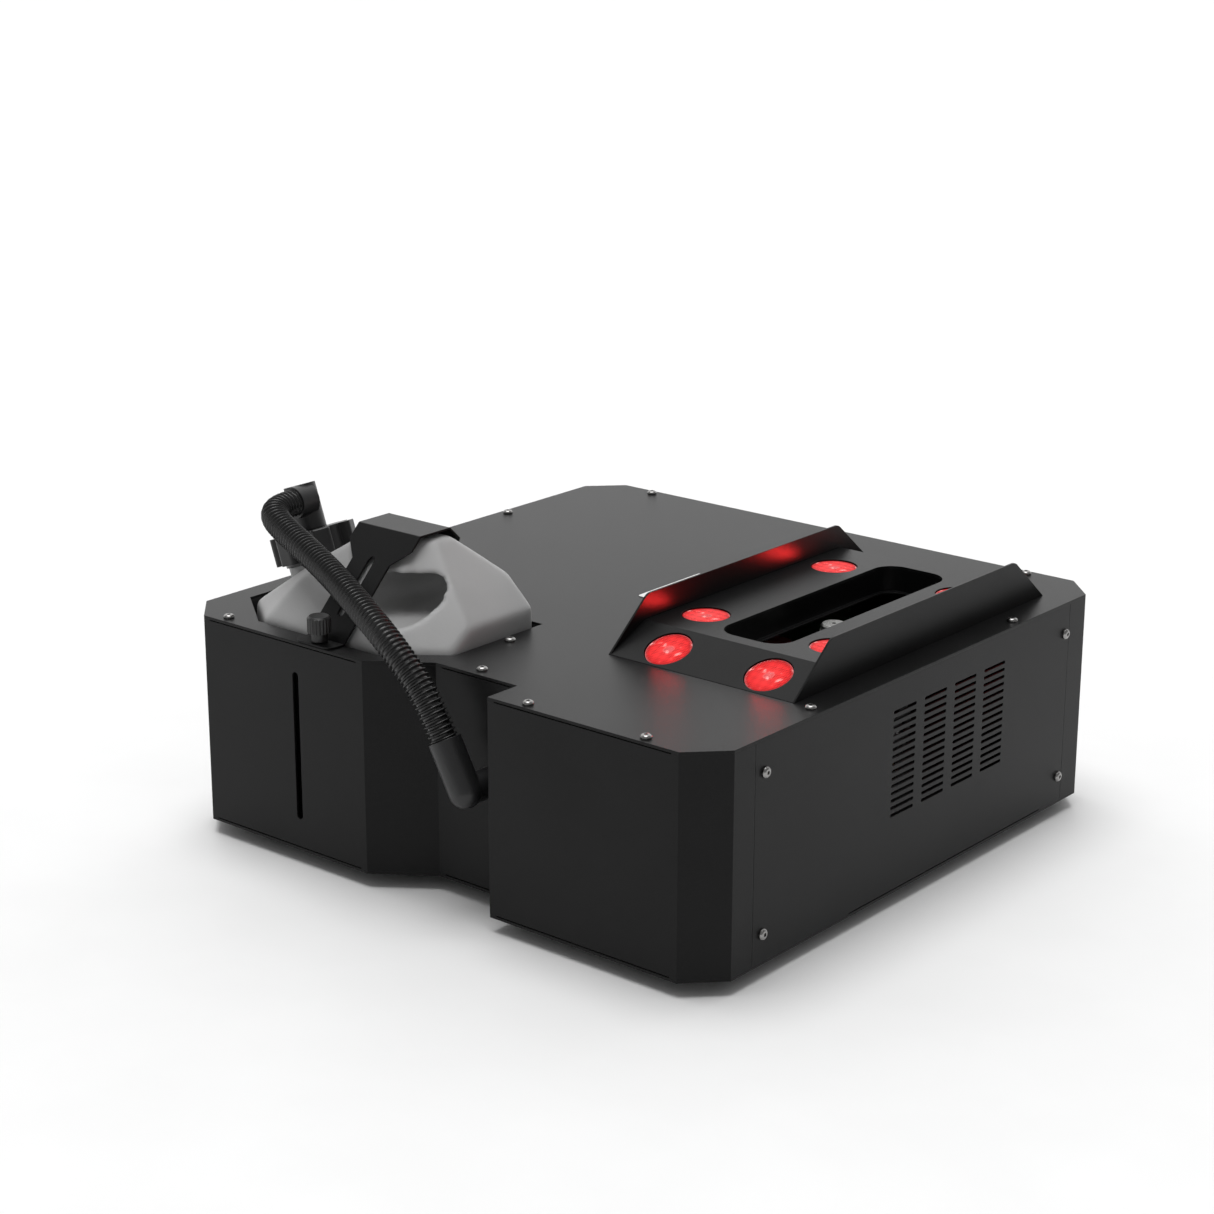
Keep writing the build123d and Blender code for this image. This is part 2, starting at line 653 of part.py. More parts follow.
with BuildPart() as jug_strap:
    with BuildSketch(Plane.YZ.offset(STRAP_X - STRAP_WIDE / 2)):
        with BuildLine() as strap_line:
            Polyline(
                (FOOT_Y0, Z_TOP), (LEG_Y0, Z_TOP), (TOP_Y0, STRAP_Z - STRAP_T),
                (TOP_Y1, STRAP_Z - STRAP_T), (LEG_Y1 - 0.3, Z_TOP + 1.2), (LEG_Y1 - 0.3, Z_TOP - 8),
            )
            offset(amount=STRAP_T, side=Side.LEFT, closed=True)
        make_face()
    extrude(amount=STRAP_WIDE)
    with BuildSketch(Plane.XZ.offset(300)):
        with BuildLine():
            half = STRAP_W / 2
            wide = STRAP_WIDE / 2
            low, high = STRAP_STEP_Z
            Polyline(
                (STRAP_X - half, Z_TOP - 20), (STRAP_X - half, low), (STRAP_X - wide, high),
                (STRAP_X - wide, STRAP_Z + 9), (STRAP_X + wide, STRAP_Z + 9),
                (STRAP_X + wide, high), (STRAP_X + half, low), (STRAP_X + half, Z_TOP - 20),
                close=True,
            )
        make_face()
    extrude(amount=-400, mode=Mode.INTERSECT)
    with BuildSketch(Plane.XZ.offset(300)):
        with Locations((STRAP_X, Z_TOP + 33)):
            SlotOverall(36, 6, rotation=90)
    extrude(amount=-140, mode=Mode.SUBTRACT)
    with Locations((*STRAP_SCREW, Z_TOP)):
        Cylinder(2.7, 10, mode=Mode.SUBTRACT)
    front_corners = jug_strap.edges().filter_by(Axis.Z).group_by(Axis.Y)[0]
    fillet(front_corners, 7)
jug_strap.part.label = "jug_strap"
export_step(jug_strap.part, "parts/jug_strap.step")

KNOB_R = 8.5
COLLAR_R = 6.0
COLLAR_Z = Z_TOP + 1.9
with BuildPart() as thumb_screw:
    with BuildSketch(Plane.XZ.offset(-STRAP_SCREW[1])):
        with BuildLine():
            Polyline(
                (STRAP_X, Z_TOP - 14), (STRAP_X + 2.5, Z_TOP - 14), (STRAP_X + 2.5, COLLAR_Z),
                (STRAP_X + COLLAR_R, COLLAR_Z), (STRAP_X + COLLAR_R, Z_TOP + 8.5),
                (STRAP_X + KNOB_R, Z_TOP + 8.5), (STRAP_X + KNOB_R, Z_TOP + 19),
                (STRAP_X + KNOB_R - 1.5, Z_TOP + 20.5), (STRAP_X, Z_TOP + 20.5),
                close=True,
            )
        make_face()
    revolve(axis=Axis((STRAP_X, STRAP_SCREW[1], 0), (0, 0, 1)))
    with BuildSketch(Plane.XY.offset(Z_TOP + 20.5)):
        with Locations(STRAP_SCREW):
            with PolarLocations(KNOB_R + 0.4, 20):
                Circle(0.9)
    extrude(amount=-12, mode=Mode.SUBTRACT)
thumb_screw.part.label = "thumb_screw"
export_step(thumb_screw.part, "parts/thumb_screw.step")

# ---------------------------------------------------------------- tilting nozzle
TILT_AXIS_Z = Z_BASE + TILT_Z
FRAME_X = (TILT_X - 42.0, TILT_X + 42.0)
SHAFT_X = (TILT_X - 60.0, TILT_X + 56.0)
GEAR_X = TILT_X + 50.0
HUB_R = 9.0
HUB_W = 44.0
STEM_R = 7.0
BUSH_R = 7.0
GEAR_R = GEAR_MODULE * GEAR_TEETH / 2
PINION_R = GEAR_MODULE * PINION_TEETH / 2
CENTRE_DISTANCE = GEAR_R + PINION_R + 0.15
MOTOR_SHAFT_R = 2.5
MOTOR_SIZE = 42.0
MOTOR_LENGTH = 38.0
MOTOR_Z = TILT_AXIS_Z - CENTRE_DISTANCE


def spur_gear(plane, teeth, turn):
    """A plain spur gear, its teeth given straight tapered sides, on the given plane."""
    pitch_r = GEAR_MODULE * teeth / 2
    root_r = pitch_r - 1.25 * GEAR_MODULE
    tip_r = pitch_r + 0.95 * GEAR_MODULE
    half_root = math.pi * GEAR_MODULE * 0.34
    half_tip = math.pi * GEAR_MODULE * 0.13
    with BuildPart() as gear:
        with BuildSketch(plane):
            Circle(root_r)
            with PolarLocations(0, teeth, start_angle=turn):
                Polygon(
                    (root_r - 0.5, -half_root), (tip_r, -half_tip),
                    (tip_r, half_tip), (root_r - 0.5, half_root),
                    align=None,
                )
        extrude(amount=GEAR_W / 2, both=True)
    return gear.part


with BuildPart() as tilt_frame:
    with BuildSketch(Plane.XZ.offset(-TILT_Y + 26)):
        with BuildLine():
            Polyline(
                (FRAME_X[0] - 2, TILT_AXIS_Z + 14), (FRAME_X[0] - 2, Z_WALL + 0.2),
                (FRAME_X[1] + 2, Z_WALL + 0.2), (FRAME_X[1] + 2, TILT_AXIS_Z + 14),
            )
            offset(amount=2, side=Side.LEFT, closed=True)
        make_face()
    extrude(amount=-52)
    with BuildSketch(Plane.YZ.offset(FRAME_X[0] - 10)):
        with Locations((TILT_Y, TILT_AXIS_Z)):
            Circle(BUSH_R)
    extrude(amount=120, mode=Mode.SUBTRACT)
    with BuildSketch(Plane.YZ.offset(TILT_X)):
        with Locations((TILT_Y, MOTOR_Z)):
            Circle(11.2)
    extrude(amount=60, mode=Mode.SUBTRACT)
tilt_frame.part.label = "tilt_frame"
export_step(tilt_frame.part, "parts/tilt_frame.step")

with BuildPart() as tilt_bushes:
    for x in FRAME_X:
        with BuildSketch(Plane.YZ.offset(x - 4.0)):
            with Locations((TILT_Y, TILT_AXIS_Z)):
                Circle(BUSH_R)
                Circle(SHAFT_R + RUN_CLEAR, mode=Mode.SUBTRACT)
        extrude(amount=8.0)
tilt_bushes.part.label = "tilt_bushes"
export_step(tilt_bushes.part, "parts/tilt_bushes.step")

with BuildPart() as tilt_shaft:
    with BuildSketch(Plane.YZ.offset(SHAFT_X[0])):
        with Locations((TILT_Y, TILT_AXIS_Z)):
            Circle(SHAFT_R)
            Circle(1.5, mode=Mode.SUBTRACT)
    extrude(amount=SHAFT_X[1] - SHAFT_X[0])
tilt_shaft.part.label = "tilt_shaft"
export_step(tilt_shaft.part, "parts/tilt_shaft.step")

with BuildPart() as tilt_cradle:
    with BuildSketch(Plane.YZ.offset(TILT_X - HUB_W / 2)):
        with Locations((TILT_Y, TILT_AXIS_Z)):
            Circle(HUB_R)
    extrude(amount=HUB_W)
    with Locations((TILT_X, TILT_Y, TILT_AXIS_Z + 14)):
        Box(26, 18, 20)
    fillet(tilt_cradle.edges().filter_by(Axis.Z), 2)
    with BuildSketch(Plane.YZ.offset(TILT_X - HUB_W / 2)):
        with Locations((TILT_Y, TILT_AXIS_Z)):
            Circle(SHAFT_R)
    extrude(amount=HUB_W, mode=Mode.SUBTRACT)
    with BuildSketch(Plane.XY.offset(TILT_AXIS_Z + 10)):
        with Locations((TILT_X, TILT_Y)):
            Circle(STEM_R - 1)
    extrude(amount=20, mode=Mode.SUBTRACT)
tilt_cradle.part.label = "tilt_cradle"
export_step(tilt_cradle.part, "parts/tilt_cradle.step")

TIP_TOP = TILT_AXIS_Z + TIP_R
TIP_LENGTH = 13.0

with BuildPart() as nozzle_stem:
    with BuildSketch(Plane.XY.offset(TILT_AXIS_Z + 10)):
        with Locations((TILT_X, TILT_Y)):
            Circle(STEM_R - 1)
            Circle(2, mode=Mode.SUBTRACT)
    extrude(amount=TIP_R - 10 - TIP_LENGTH + 5)
nozzle_stem.part.label = "nozzle_stem"
export_step(nozzle_stem.part, "parts/nozzle_stem.step")

with BuildPart() as nozzle_tip:
    with BuildSketch(Plane.XY.offset(TIP_TOP - TIP_LENGTH)):
        with Locations((TILT_X, TILT_Y)):
            RegularPolygon(11.5, 6)
    extrude(amount=8)
    with BuildSketch(Plane.XY.offset(TIP_TOP - TIP_LENGTH)):
        with Locations((TILT_X, TILT_Y)):
            Circle(9.5)
    extrude(amount=TIP_LENGTH)
    chamfer(nozzle_tip.faces().sort_by(Axis.Z)[-1].edges(), 1.2)
    with BuildSketch(Plane.XY.offset(TIP_TOP - TIP_LENGTH)):
        with Locations((TILT_X, TILT_Y)):
            Circle(STEM_R - 1)
    extrude(amount=5, mode=Mode.SUBTRACT)
    with BuildSketch(Plane.XY.offset(TIP_TOP - TIP_LENGTH)):
        with Locations((TILT_X, TILT_Y)):
            Circle(1.6)
    extrude(amount=TIP_LENGTH, mode=Mode.SUBTRACT)
nozzle_tip.part.label = "nozzle_tip"
export_step(nozzle_tip.part, "parts/nozzle_tip.step")

GEAR_PLANE = Plane(origin=(GEAR_X, TILT_Y, TILT_AXIS_Z), x_dir=(0, 1, 0), z_dir=(1, 0, 0))
PINION_PLANE = Plane(origin=(GEAR_X, TILT_Y, MOTOR_Z), x_dir=(0, 1, 0), z_dir=(1, 0, 0))

with BuildPart() as driven_gear:
    add(spur_gear(GEAR_PLANE, GEAR_TEETH, 90))
    with BuildSketch(GEAR_PLANE.offset(-GEAR_W / 2)):
        Circle(SHAFT_R)
    extrude(amount=GEAR_W, mode=Mode.SUBTRACT)
    with BuildSketch(GEAR_PLANE.offset(-GEAR_W / 2)):
        with PolarLocations(14, 5):
            Circle(4)
    extrude(amount=GEAR_W, mode=Mode.SUBTRACT)
driven_gear.part.label = "driven_gear"
export_step(driven_gear.part, "parts/driven_gear.step")

with BuildPart() as motor_pinion:
    add(spur_gear(PINION_PLANE, PINION_TEETH, 90 + 180 / PINION_TEETH))
    with BuildSketch(PINION_PLANE.offset(-16)):
        Circle(MOTOR_SHAFT_R)
    extrude(amount=20)
motor_pinion.part.label = "motor_pinion"
export_step(motor_pinion.part, "parts/motor_pinion.step")

MOTOR_X1 = FRAME_X[1] - 0.1
with BuildPart() as stepper_motor:
    with BuildSketch(Plane.YZ.offset(MOTOR_X1)):
        with Locations((TILT_Y, MOTOR_Z)):
            RectangleRounded(MOTOR_SIZE, MOTOR_SIZE, 4)
    extrude(amount=-MOTOR_LENGTH)
    with BuildSketch(Plane.YZ.offset(MOTOR_X1)):
        with Locations((TILT_Y, MOTOR_Z)):
            Circle(11)
    extrude(amount=2)
    with BuildSketch(Plane.YZ.offset(MOTOR_X1 + 2)):
        with Locations((TILT_Y, MOTOR_Z)):
            Circle(MOTOR_SHAFT_R + RUN_CLEAR)
    extrude(amount=-18, mode=Mode.SUBTRACT)
stepper_motor.part.label = "stepper_motor"
export_step(stepper_motor.part, "parts/stepper_motor.step")

# ---------------------------------------------------------------- heater, pump and electronics
HEATER_X = (TILT_X - 215.0, TILT_X - 85.0)
HEATER_LENGTH = 90.0
HEATER_H = 46.0
HEATER_MID = ((HEATER_X[0] + HEATER_X[1]) / 2, TILT_Y + 25.0, TILT_AXIS_Z)
PIPE_R = 4.0

with BuildPart() as heater_block:
    with Locations(HEATER_MID):
        Box(HEATER_X[1] - HEATER_X[0], HEATER_LENGTH, HEATER_H)
    fillet(heater_block.edges().filter_by(Axis.Z), 5)
    with BuildSketch(Plane.XY.offset(HEATER_MID[2] + HEATER_H / 2)):
        with Locations((HEATER_MID[0], HEATER_MID[1])):
            with GridLocations(24, 1, 5, 1):
                Rectangle(8, 80)
    extrude(amount=-8, mode=Mode.SUBTRACT)
heater_block.part.label = "heater_block"
export_step(heater_block.part, "parts/heater_block.step")

with BuildPart() as heater_legs:
    leg_h = HEATER_MID[2] - HEATER_H / 2 - Z_WALL - 0.2
    with Locations((HEATER_MID[0], HEATER_MID[1], Z_WALL + 0.2 + leg_h / 2)):
        with GridLocations(100, 70, 2, 2):
            Cylinder(6, leg_h)
heater_legs.part.label = "heater_legs"
export_step(heater_legs.part, "parts/heater_legs.step")

with BuildPart() as fog_pipe:
    with BuildSketch(Plane.YZ.offset(HEATER_X[1] + 0.1)):
        with Locations((TILT_Y, TILT_AXIS_Z)):
            Circle(PIPE_R + 3)
            Circle(1.5, mode=Mode.SUBTRACT)
    extrude(amount=SHAFT_X[0] - HEATER_X[1] - 0.4)
fog_pipe.part.label = "fog_pipe"
export_step(fog_pipe.part, "parts/fog_pipe.step")

PUMP = (30.0, -165.0, Z_BASE + 42.0)
with BuildPart() as pump:
    with Locations(PUMP):
        Cylinder(17, 60, rotation=(90, 0, 0))
        Box(44, 34, 44)
    fillet(pump.edges().filter_by(Axis.Y), 3)
    foot_top = PUMP[2] - 20
    with Locations((PUMP[0], PUMP[1], foot_top)):
        Box(50, 30, foot_top - Z_WALL - 0.2, align=(Align.CENTER, Align.CENTER, Align.MAX))
pump.part.label = "pump"
export_step(pump.part, "parts/pump.step")

TUBE_R = 3.5
SUCTION = [
    (BULKHEAD[0], BULKHEAD[1] + 13.1, BULKHEAD[2]),
    (BULKHEAD[0], PUMP[1] - 11, BULKHEAD[2]),
    (BULKHEAD[0], PUMP[1] - 11, PUMP[2] + 22.2),
]
DELIVERY = [
    (PUMP[0], PUMP[1] + 30.2, PUMP[2]), (PUMP[0], PUMP[1] + 60, PUMP[2]),
    (HEATER_MID[0] + 20, HEATER_MID[1] - 90, TILT_AXIS_Z),
    (HEATER_MID[0] + 20, HEATER_MID[1] - 45.2, TILT_AXIS_Z),
]
with BuildPart() as feed_tubes:
    for line in (SUCTION, DELIVERY):
        with BuildLine() as tube_line:
            FilletPolyline(*line, radius=12)
        with BuildSketch(Plane(origin=line[0], z_dir=Vector(*line[1]) - Vector(*line[0]))):
            Circle(TUBE_R)
        sweep(path=tube_line.wires()[0])
feed_tubes.part.label = "feed_tubes"
export_step(feed_tubes.part, "parts/feed_tubes.step")

with BuildPart() as power_supply:
    with Locations((140, -155, Z_WALL + 20.2)):
        Box(150, 92, 40)
    fillet(power_supply.edges().filter_by(Axis.Z), 2)
    with BuildSketch(Plane.XY.offset(Z_WALL + 40.2)):
        with Locations((140, -155)):
            with GridLocations(9, 9, 12, 7):
                RegularPolygon(3, 6)
    extrude(amount=-3, mode=Mode.SUBTRACT)
power_supply.part.label = "power_supply"
export_step(power_supply.part, "parts/power_supply.step")

BOARD_Y = BACK - 22.0
with BuildPart() as control_board:
    with Locations((DISPLAY[0], BOARD_Y, Z_BASE + 90)):
        Box(86, 1.6, 72)
    chip_y = BOARD_Y - 5.8
    with Locations((DISPLAY[0] - 30, chip_y, Z_BASE + 110), (DISPLAY[0] + 22, chip_y, Z_BASE + 72)):
        Box(18, 10, 14)
control_board.part.label = "control_board"
export_step(control_board.part, "parts/control_board.step")

# ---------------------------------------------------------------- rear face: fan, controls and sockets
FAN_SIZE = 80.0
FAN_T = 25.0
FAN_Y1 = BACK - SHEET - 2.6
FAN_BORE_R = 38.0
ROTOR_R = 36.5
FAN_HUB_R = 16.0

with BuildPart() as fan_frame:
    with BuildSketch(Plane.XZ.offset(-FAN_Y1)):
        with Locations((FAN_X, FAN_Z)):
            RectangleRounded(FAN_SIZE, FAN_SIZE, 4)
            Circle(FAN_BORE_R, mode=Mode.SUBTRACT)
    extrude(amount=FAN_T)
    with BuildSketch(Plane.XZ.offset(-FAN_Y1 + FAN_T - 3)):
        with Locations((FAN_X, FAN_Z)):
            Circle(FAN_HUB_R)
            with PolarLocations(27, 4, start_angle=45):
                Rectangle(26, 5)
    extrude(amount=3)
    with BuildSketch(Plane.XZ.offset(-FAN_Y1)):
        with Locations((FAN_X, FAN_Z)):
            with GridLocations(71.5, 71.5, 2, 2):
                Circle(2.2)
    extrude(amount=FAN_T, mode=Mode.SUBTRACT)
    with BuildSketch(Plane.XZ.offset(-FAN_Y1 + FAN_T - 3)):
        with Locations((FAN_X, FAN_Z)):
            Circle(1.5)
    extrude(amount=-14)
fan_frame.part.label = "fan_frame"
export_step(fan_frame.part, "parts/fan_frame.step")

with BuildPart() as fan_rotor:
    with BuildSketch(Plane.XZ.offset(-FAN_Y1 + 2)):
        with Locations((FAN_X, FAN_Z)):
            Circle(FAN_HUB_R)
    extrude(amount=18)
    with BuildSketch(Plane.XZ.offset(-FAN_Y1 + 4)):
        with Locations((FAN_X, FAN_Z)):
            with PolarLocations((FAN_HUB_R + ROTOR_R) / 2 - 0.5, 7):
                Rectangle(ROTOR_R - FAN_HUB_R + 1, 7, rotation=18)
    extrude(amount=14)
    with BuildSketch(Plane.XZ.offset(-FAN_Y1 + 2)):
        with Locations((FAN_X, FAN_Z)):
            Circle(ROTOR_R + 5)
            Circle(ROTOR_R, mode=Mode.SUBTRACT)
    extrude(amount=30, mode=Mode.SUBTRACT)
    with BuildSketch(Plane.XZ.offset(-FAN_Y1 + 20)):
        with Locations((FAN_X, FAN_Z)):
            Circle(1.5 + RUN_CLEAR)
    extrude(amount=-14.2, mode=Mode.SUBTRACT)
fan_rotor.part.label = "fan_rotor"
export_step(fan_rotor.part, "parts/fan_rotor.step")

GUARD_RINGS = (43.5, 36.0, 28.0, 20.0, 12.0)
GUARD_WIRE = 1.8
with BuildPart() as fan_guard:
    with BuildSketch(Plane.XZ.offset(-(BACK - SHEET - 0.1))):
        with Locations((FAN_X, FAN_Z)):
            for ring_r in GUARD_RINGS:
                Circle(ring_r + GUARD_WIRE / 2)
                Circle(ring_r - GUARD_WIRE / 2, mode=Mode.SUBTRACT)
    extrude(amount=1.3)
    with BuildSketch(Plane.XZ.offset(-(BACK - SHEET - 0.1))):
        with Locations((FAN_X, FAN_Z)):
            with PolarLocations(28, 4, start_angle=45):
                Rectangle(33, 2)
    extrude(amount=2)
fan_guard.part.label = "fan_guard"
export_step(fan_guard.part, "parts/fan_guard.step")

with BuildPart() as display:
    with BuildSketch(Plane.XZ.offset(-(BACK - 0.3))):
        with Locations(DISPLAY):
            RectangleRounded(DISPLAY_SIZE[0] - 0.6, DISPLAY_SIZE[1] - 0.6, 1.7)
    extrude(amount=2)
    with BuildSketch(Plane.XZ.offset(-(BACK - 2.3))):
        with Locations(DISPLAY):
            Rectangle(DISPLAY_SIZE[0] + 6, DISPLAY_SIZE[1] + 6)
    extrude(amount=9)
display.part.label = "display"
export_step(display.part, "parts/display.step")

for number, x in enumerate(BUTTON_X, start=1):
    with BuildPart() as menu_button:
        with BuildSketch(Plane.XZ.offset(-(BACK - 0.1))):
            with Locations((x, BUTTON_Z)):
                Circle(BUTTON_R)
        extrude(amount=9)
        fillet(menu_button.faces().sort_by(Axis.Y)[-1].edges(), 0.8)
        with BuildSketch(Plane.XZ.offset(-(BACK - SHEET - 1.3))):
            with Locations((x, BUTTON_Z)):
                Circle(BUTTON_R + 1.4)
        extrude(amount=1.5)
    menu_button.part.label = f"menu_button_{number}"
    export_step(menu_button.part, f"parts/menu_button_{number}.step")

with BuildPart() as signal_sockets:
    with BuildSketch(Plane.XZ.offset(-(BACK - 0.2))):
        with Locations(*[(x, SIGNAL_Z) for x in SIGNAL_X]):
            Circle(SIGNAL_R - 0.3)
    extrude(amount=22)
    with BuildSketch(Plane.XZ.offset(-(BACK - SHEET - 0.1))):
        with Locations(*[(x, SIGNAL_Z) for x in SIGNAL_X]):
            RectangleRounded(31, 31, 3)
    extrude(amount=2)
    with BuildSketch(Plane.XZ.offset(-(BACK - 0.2))):
        with Locations(*[(x, SIGNAL_Z) for x in SIGNAL_X]):
            Circle(9.6)
    extrude(amount=15, mode=Mode.SUBTRACT)
    with BuildSketch(Plane.XZ.offset(-(BACK - 15.2))):
        with Locations(*[(x, SIGNAL_Z) for x in SIGNAL_X]):
            with PolarLocations(4.8, 3, start_angle=30):
                Circle(1.2)
    extrude(amount=-11)
signal_sockets.part.label = "signal_sockets"
export_step(signal_sockets.part, "parts/signal_sockets.step")

ROCKER_Z = MAINS_Z + 20.0
INLET_Z = MAINS_Z - 14.0
FUSE_Z = MAINS_Z + 4.0
with BuildPart() as mains_inlet:
    with BuildSketch(Plane.XZ.offset(-(BACK - 0.2))):
        with Locations((MAINS_X, MAINS_Z)):
            RectangleRounded(MAINS_SIZE[0] - 0.6, MAINS_SIZE[1] - 0.6, 2)
    extrude(amount=28)
    with BuildSketch(Plane.XZ.offset(-(BACK - SHEET - 0.1))):
        with Locations((MAINS_X, MAINS_Z)):
            RectangleRounded(MAINS_SIZE[0] + 8, MAINS_SIZE[1] + 6, 2)
    extrude(amount=2)
    with BuildSketch(Plane.XZ.offset(-(BACK - 0.2))):
        with Locations((MAINS_X, INLET_Z)):
            RectangleRounded(24, 17, 2)
    extrude(amount=18, mode=Mode.SUBTRACT)
    with BuildSketch(Plane.XZ.offset(-(BACK - 18.2))):
        with Locations((MAINS_X, INLET_Z - 2), (MAINS_X - 7, INLET_Z + 2), (MAINS_X + 7, INLET_Z + 2)):
            Rectangle(2, 4)
    extrude(amount=-13)
    with BuildSketch(Plane.XZ.offset(-(BACK - 0.2))):
        with Locations((MAINS_X, FUSE_Z)):
            Rectangle(22, 9)
        with Locations((MAINS_X, ROCKER_Z)):
            Rectangle(21, 15)
    extrude(amount=16, mode=Mode.SUBTRACT)
mains_inlet.part.label = "mains_inlet"
export_step(mains_inlet.part, "parts/mains_inlet.step")

with BuildPart() as fuse_drawer:
    with BuildSketch(Plane.XZ.offset(-(BACK - 0.4))):
        with Locations((MAINS_X, FUSE_Z)):
            Rectangle(21.4, 8.4)
    extrude(amount=15)
    with BuildSketch(Plane.XZ.offset(-(BACK - 0.4))):
        with Locations((MAINS_X, FUSE_Z + 1.5)):
            Rectangle(8, 2)
    extrude(amount=1.5, mode=Mode.SUBTRACT)
fuse_drawer.part.label = "fuse_drawer"
export_step(fuse_drawer.part, "parts/fuse_drawer.step")

ROCKER_PIVOT_Y = BACK - 8.0
ROCKER_R = 7.2
with BuildPart() as power_rocker:
    with BuildSketch(Plane.YZ.offset(MAINS_X - 10)):
        with Locations((ROCKER_PIVOT_Y, ROCKER_Z)):
            Circle(ROCKER_R)
            Rectangle(30, 30, rotation=-12, align=(Align.MAX, Align.CENTER), mode=Mode.SUBTRACT)
            Circle(4)
    extrude(amount=20)
power_rocker.part.label = "power_rocker"
export_step(power_rocker.part, "parts/power_rocker.step")
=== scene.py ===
"""Looks for the fog machine, in metres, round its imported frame."""
import json
import math

import bmesh
import bpy
import numpy as np
from mathutils import Matrix, Vector


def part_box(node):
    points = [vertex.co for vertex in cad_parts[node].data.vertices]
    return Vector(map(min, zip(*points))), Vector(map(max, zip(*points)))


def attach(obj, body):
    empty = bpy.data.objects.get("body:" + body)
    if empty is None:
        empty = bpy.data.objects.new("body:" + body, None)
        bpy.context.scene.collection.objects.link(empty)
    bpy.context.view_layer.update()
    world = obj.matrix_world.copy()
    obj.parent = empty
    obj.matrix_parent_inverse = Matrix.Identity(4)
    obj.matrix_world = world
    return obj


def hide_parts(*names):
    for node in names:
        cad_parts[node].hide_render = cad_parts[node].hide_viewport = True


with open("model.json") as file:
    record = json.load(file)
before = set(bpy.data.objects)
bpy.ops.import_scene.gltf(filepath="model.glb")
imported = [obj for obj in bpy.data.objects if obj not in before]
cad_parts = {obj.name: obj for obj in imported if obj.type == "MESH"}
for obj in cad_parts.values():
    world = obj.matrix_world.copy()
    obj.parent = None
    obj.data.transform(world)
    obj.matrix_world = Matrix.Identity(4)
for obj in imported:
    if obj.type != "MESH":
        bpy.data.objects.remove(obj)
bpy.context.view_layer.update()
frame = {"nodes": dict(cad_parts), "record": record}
NODES = frame["nodes"]

HOUSING = "housing"

# The hose's route, the same points as the part's source, in metres.
HOSE_ROUTE = [
    (-0.2070, -0.1620, 0.2400),
    (-0.2070, -0.1770, 0.2400),
    (-0.1990, -0.1895, 0.2370),
    (-0.1800, -0.1960, 0.2315),
    (-0.1500, -0.2040, 0.2245),
    (-0.1150, -0.2145, 0.2160),
    (-0.0790, -0.2270, 0.2060),
    (-0.0460, -0.2370, 0.1940),
    (-0.0240, -0.2400, 0.1800),
    (-0.0060, -0.2400, 0.1630),
    (0.0060, -0.2395, 0.1455),
    (0.0146, -0.2380, 0.1282),
]
HOSE_D = 0.021

# The hose's rings, and how sharply their flat tops turn down into the valleys.
RING_PITCH = 0.0036
RING_DEPTH = 0.0021
RING_SHARPNESS = 5
CREST_LEVEL = 0.45
POINTS_PER_RING = 8

# The slit along the hose, as a depth for each side of the tube, and the lap beside it.
HOSE_SIDES = 40
SLIT_DEPTHS = {6: 0.0009, 7: 0.0016, 8: 0.0009}
LAP_SIDES = range(1, 6)
LAP_RUN = (0.68, 0.86)
LAP_DEPTH = 0.0006

# The jug's neck leans left, and the cap's centre lies on its axis.
NECK_TILT = math.radians(19.4)
NECK_AXIS = Vector((-math.sin(NECK_TILT), 0, math.cos(NECK_TILT)))
CAP_CENTRE = Vector((-0.1996, -0.147, 0.204))
NECK_R = 0.0235
NECK_BELOW_CAP = (0.03, 0.004)
NECK_SIDES = 40

# The jug's box, and a point and an outward normal for each shoulder and cut corner.
JUG_LOW = Vector((-0.223, -0.222, 0.019))
JUG_HIGH = Vector((-0.022, -0.103, 0.2335))
JUG_CUTS = [
    ((0, -0.222, 0.1715), (0, -1, 1)),
    ((0, -0.103, 0.204), (0, 1, 1)),
    ((-0.022, 0, 0.183), (0.95, 0, 1)),
    ((-0.223, 0, 0.166), (-0.727, 0, 1)),
    ((-0.223, -0.190, 0.169), (-0.58, -0.77, 1)),
    ((-0.022, -0.190, 0.169), (0.62, -0.75, 1)),
    ((-0.223, -0.188, 0), (-34, -45, 0)),
    ((-0.022, -0.190, 0), (32, -40, 0)),
]
JUG_EDGE = 0.008
JUG_VOXEL = 0.0018
JUG_SMOOTHING = 20

# The hand hole runs through the jug along Y, made by a cutter of this depth.
HAND_HOLE_CENTRE = (-0.078, -0.1625, 0.198)
HAND_HOLE_WIDTH = 0.056
HAND_HOLE_HEIGHT = 0.030
HAND_HOLE_CUTTER_DEPTH = 0.2

# The pod's front and rear slopes, and where their lamps lie on them.
POD_SLOPE_RISE = 0.0165
POD_SLOPE_RUN = 0.0385
POD_SLOPE = math.atan2(POD_SLOPE_RISE, POD_SLOPE_RUN)
POD_FOOT_Z = 0.170
LENS_UP_SLOPE = 0.020
LENS_RECESS = 0.0009

# Each lamp's optic: a faceted face round a plain disc, with a cone behind.
LENS_COUNT = 8
LENS_R = 0.0169
LENS_DEPTH = 0.014
LENS_END_R = 0.008
LENS_RIM = 0.0006
LENS_SIDES = 48
FACETS_ACROSS = 26
FACET_DEPTH = 0.0006
PLAIN_DISC_R = 0.0042
PLAIN_DISC_HEIGHT = 0.0001

# The least diagonal and doubled area of a facet, as shares of a whole facet's side and its square.
MIN_DIAGONAL = 0.5
MIN_DOUBLE_AREA = 0.3

# The light that each lamp gives, from a disc just outside it.
GLOW_D = 1.5 * LENS_R
DECK_WATTS = 0.075
SLOPE_WATTS = 0.014
GLOW_HEIGHT = 0.0015

# The blank label on the top cover.
LABEL_X = (-0.009, 0.046)
LABEL_Y = (-0.002, 0.074)
LABEL_CORNER = 0.003
LABEL_CORNER_STEPS = 6
LABEL_TOP = 0.0004
LABEL_UNDERSIDE = 0.00002

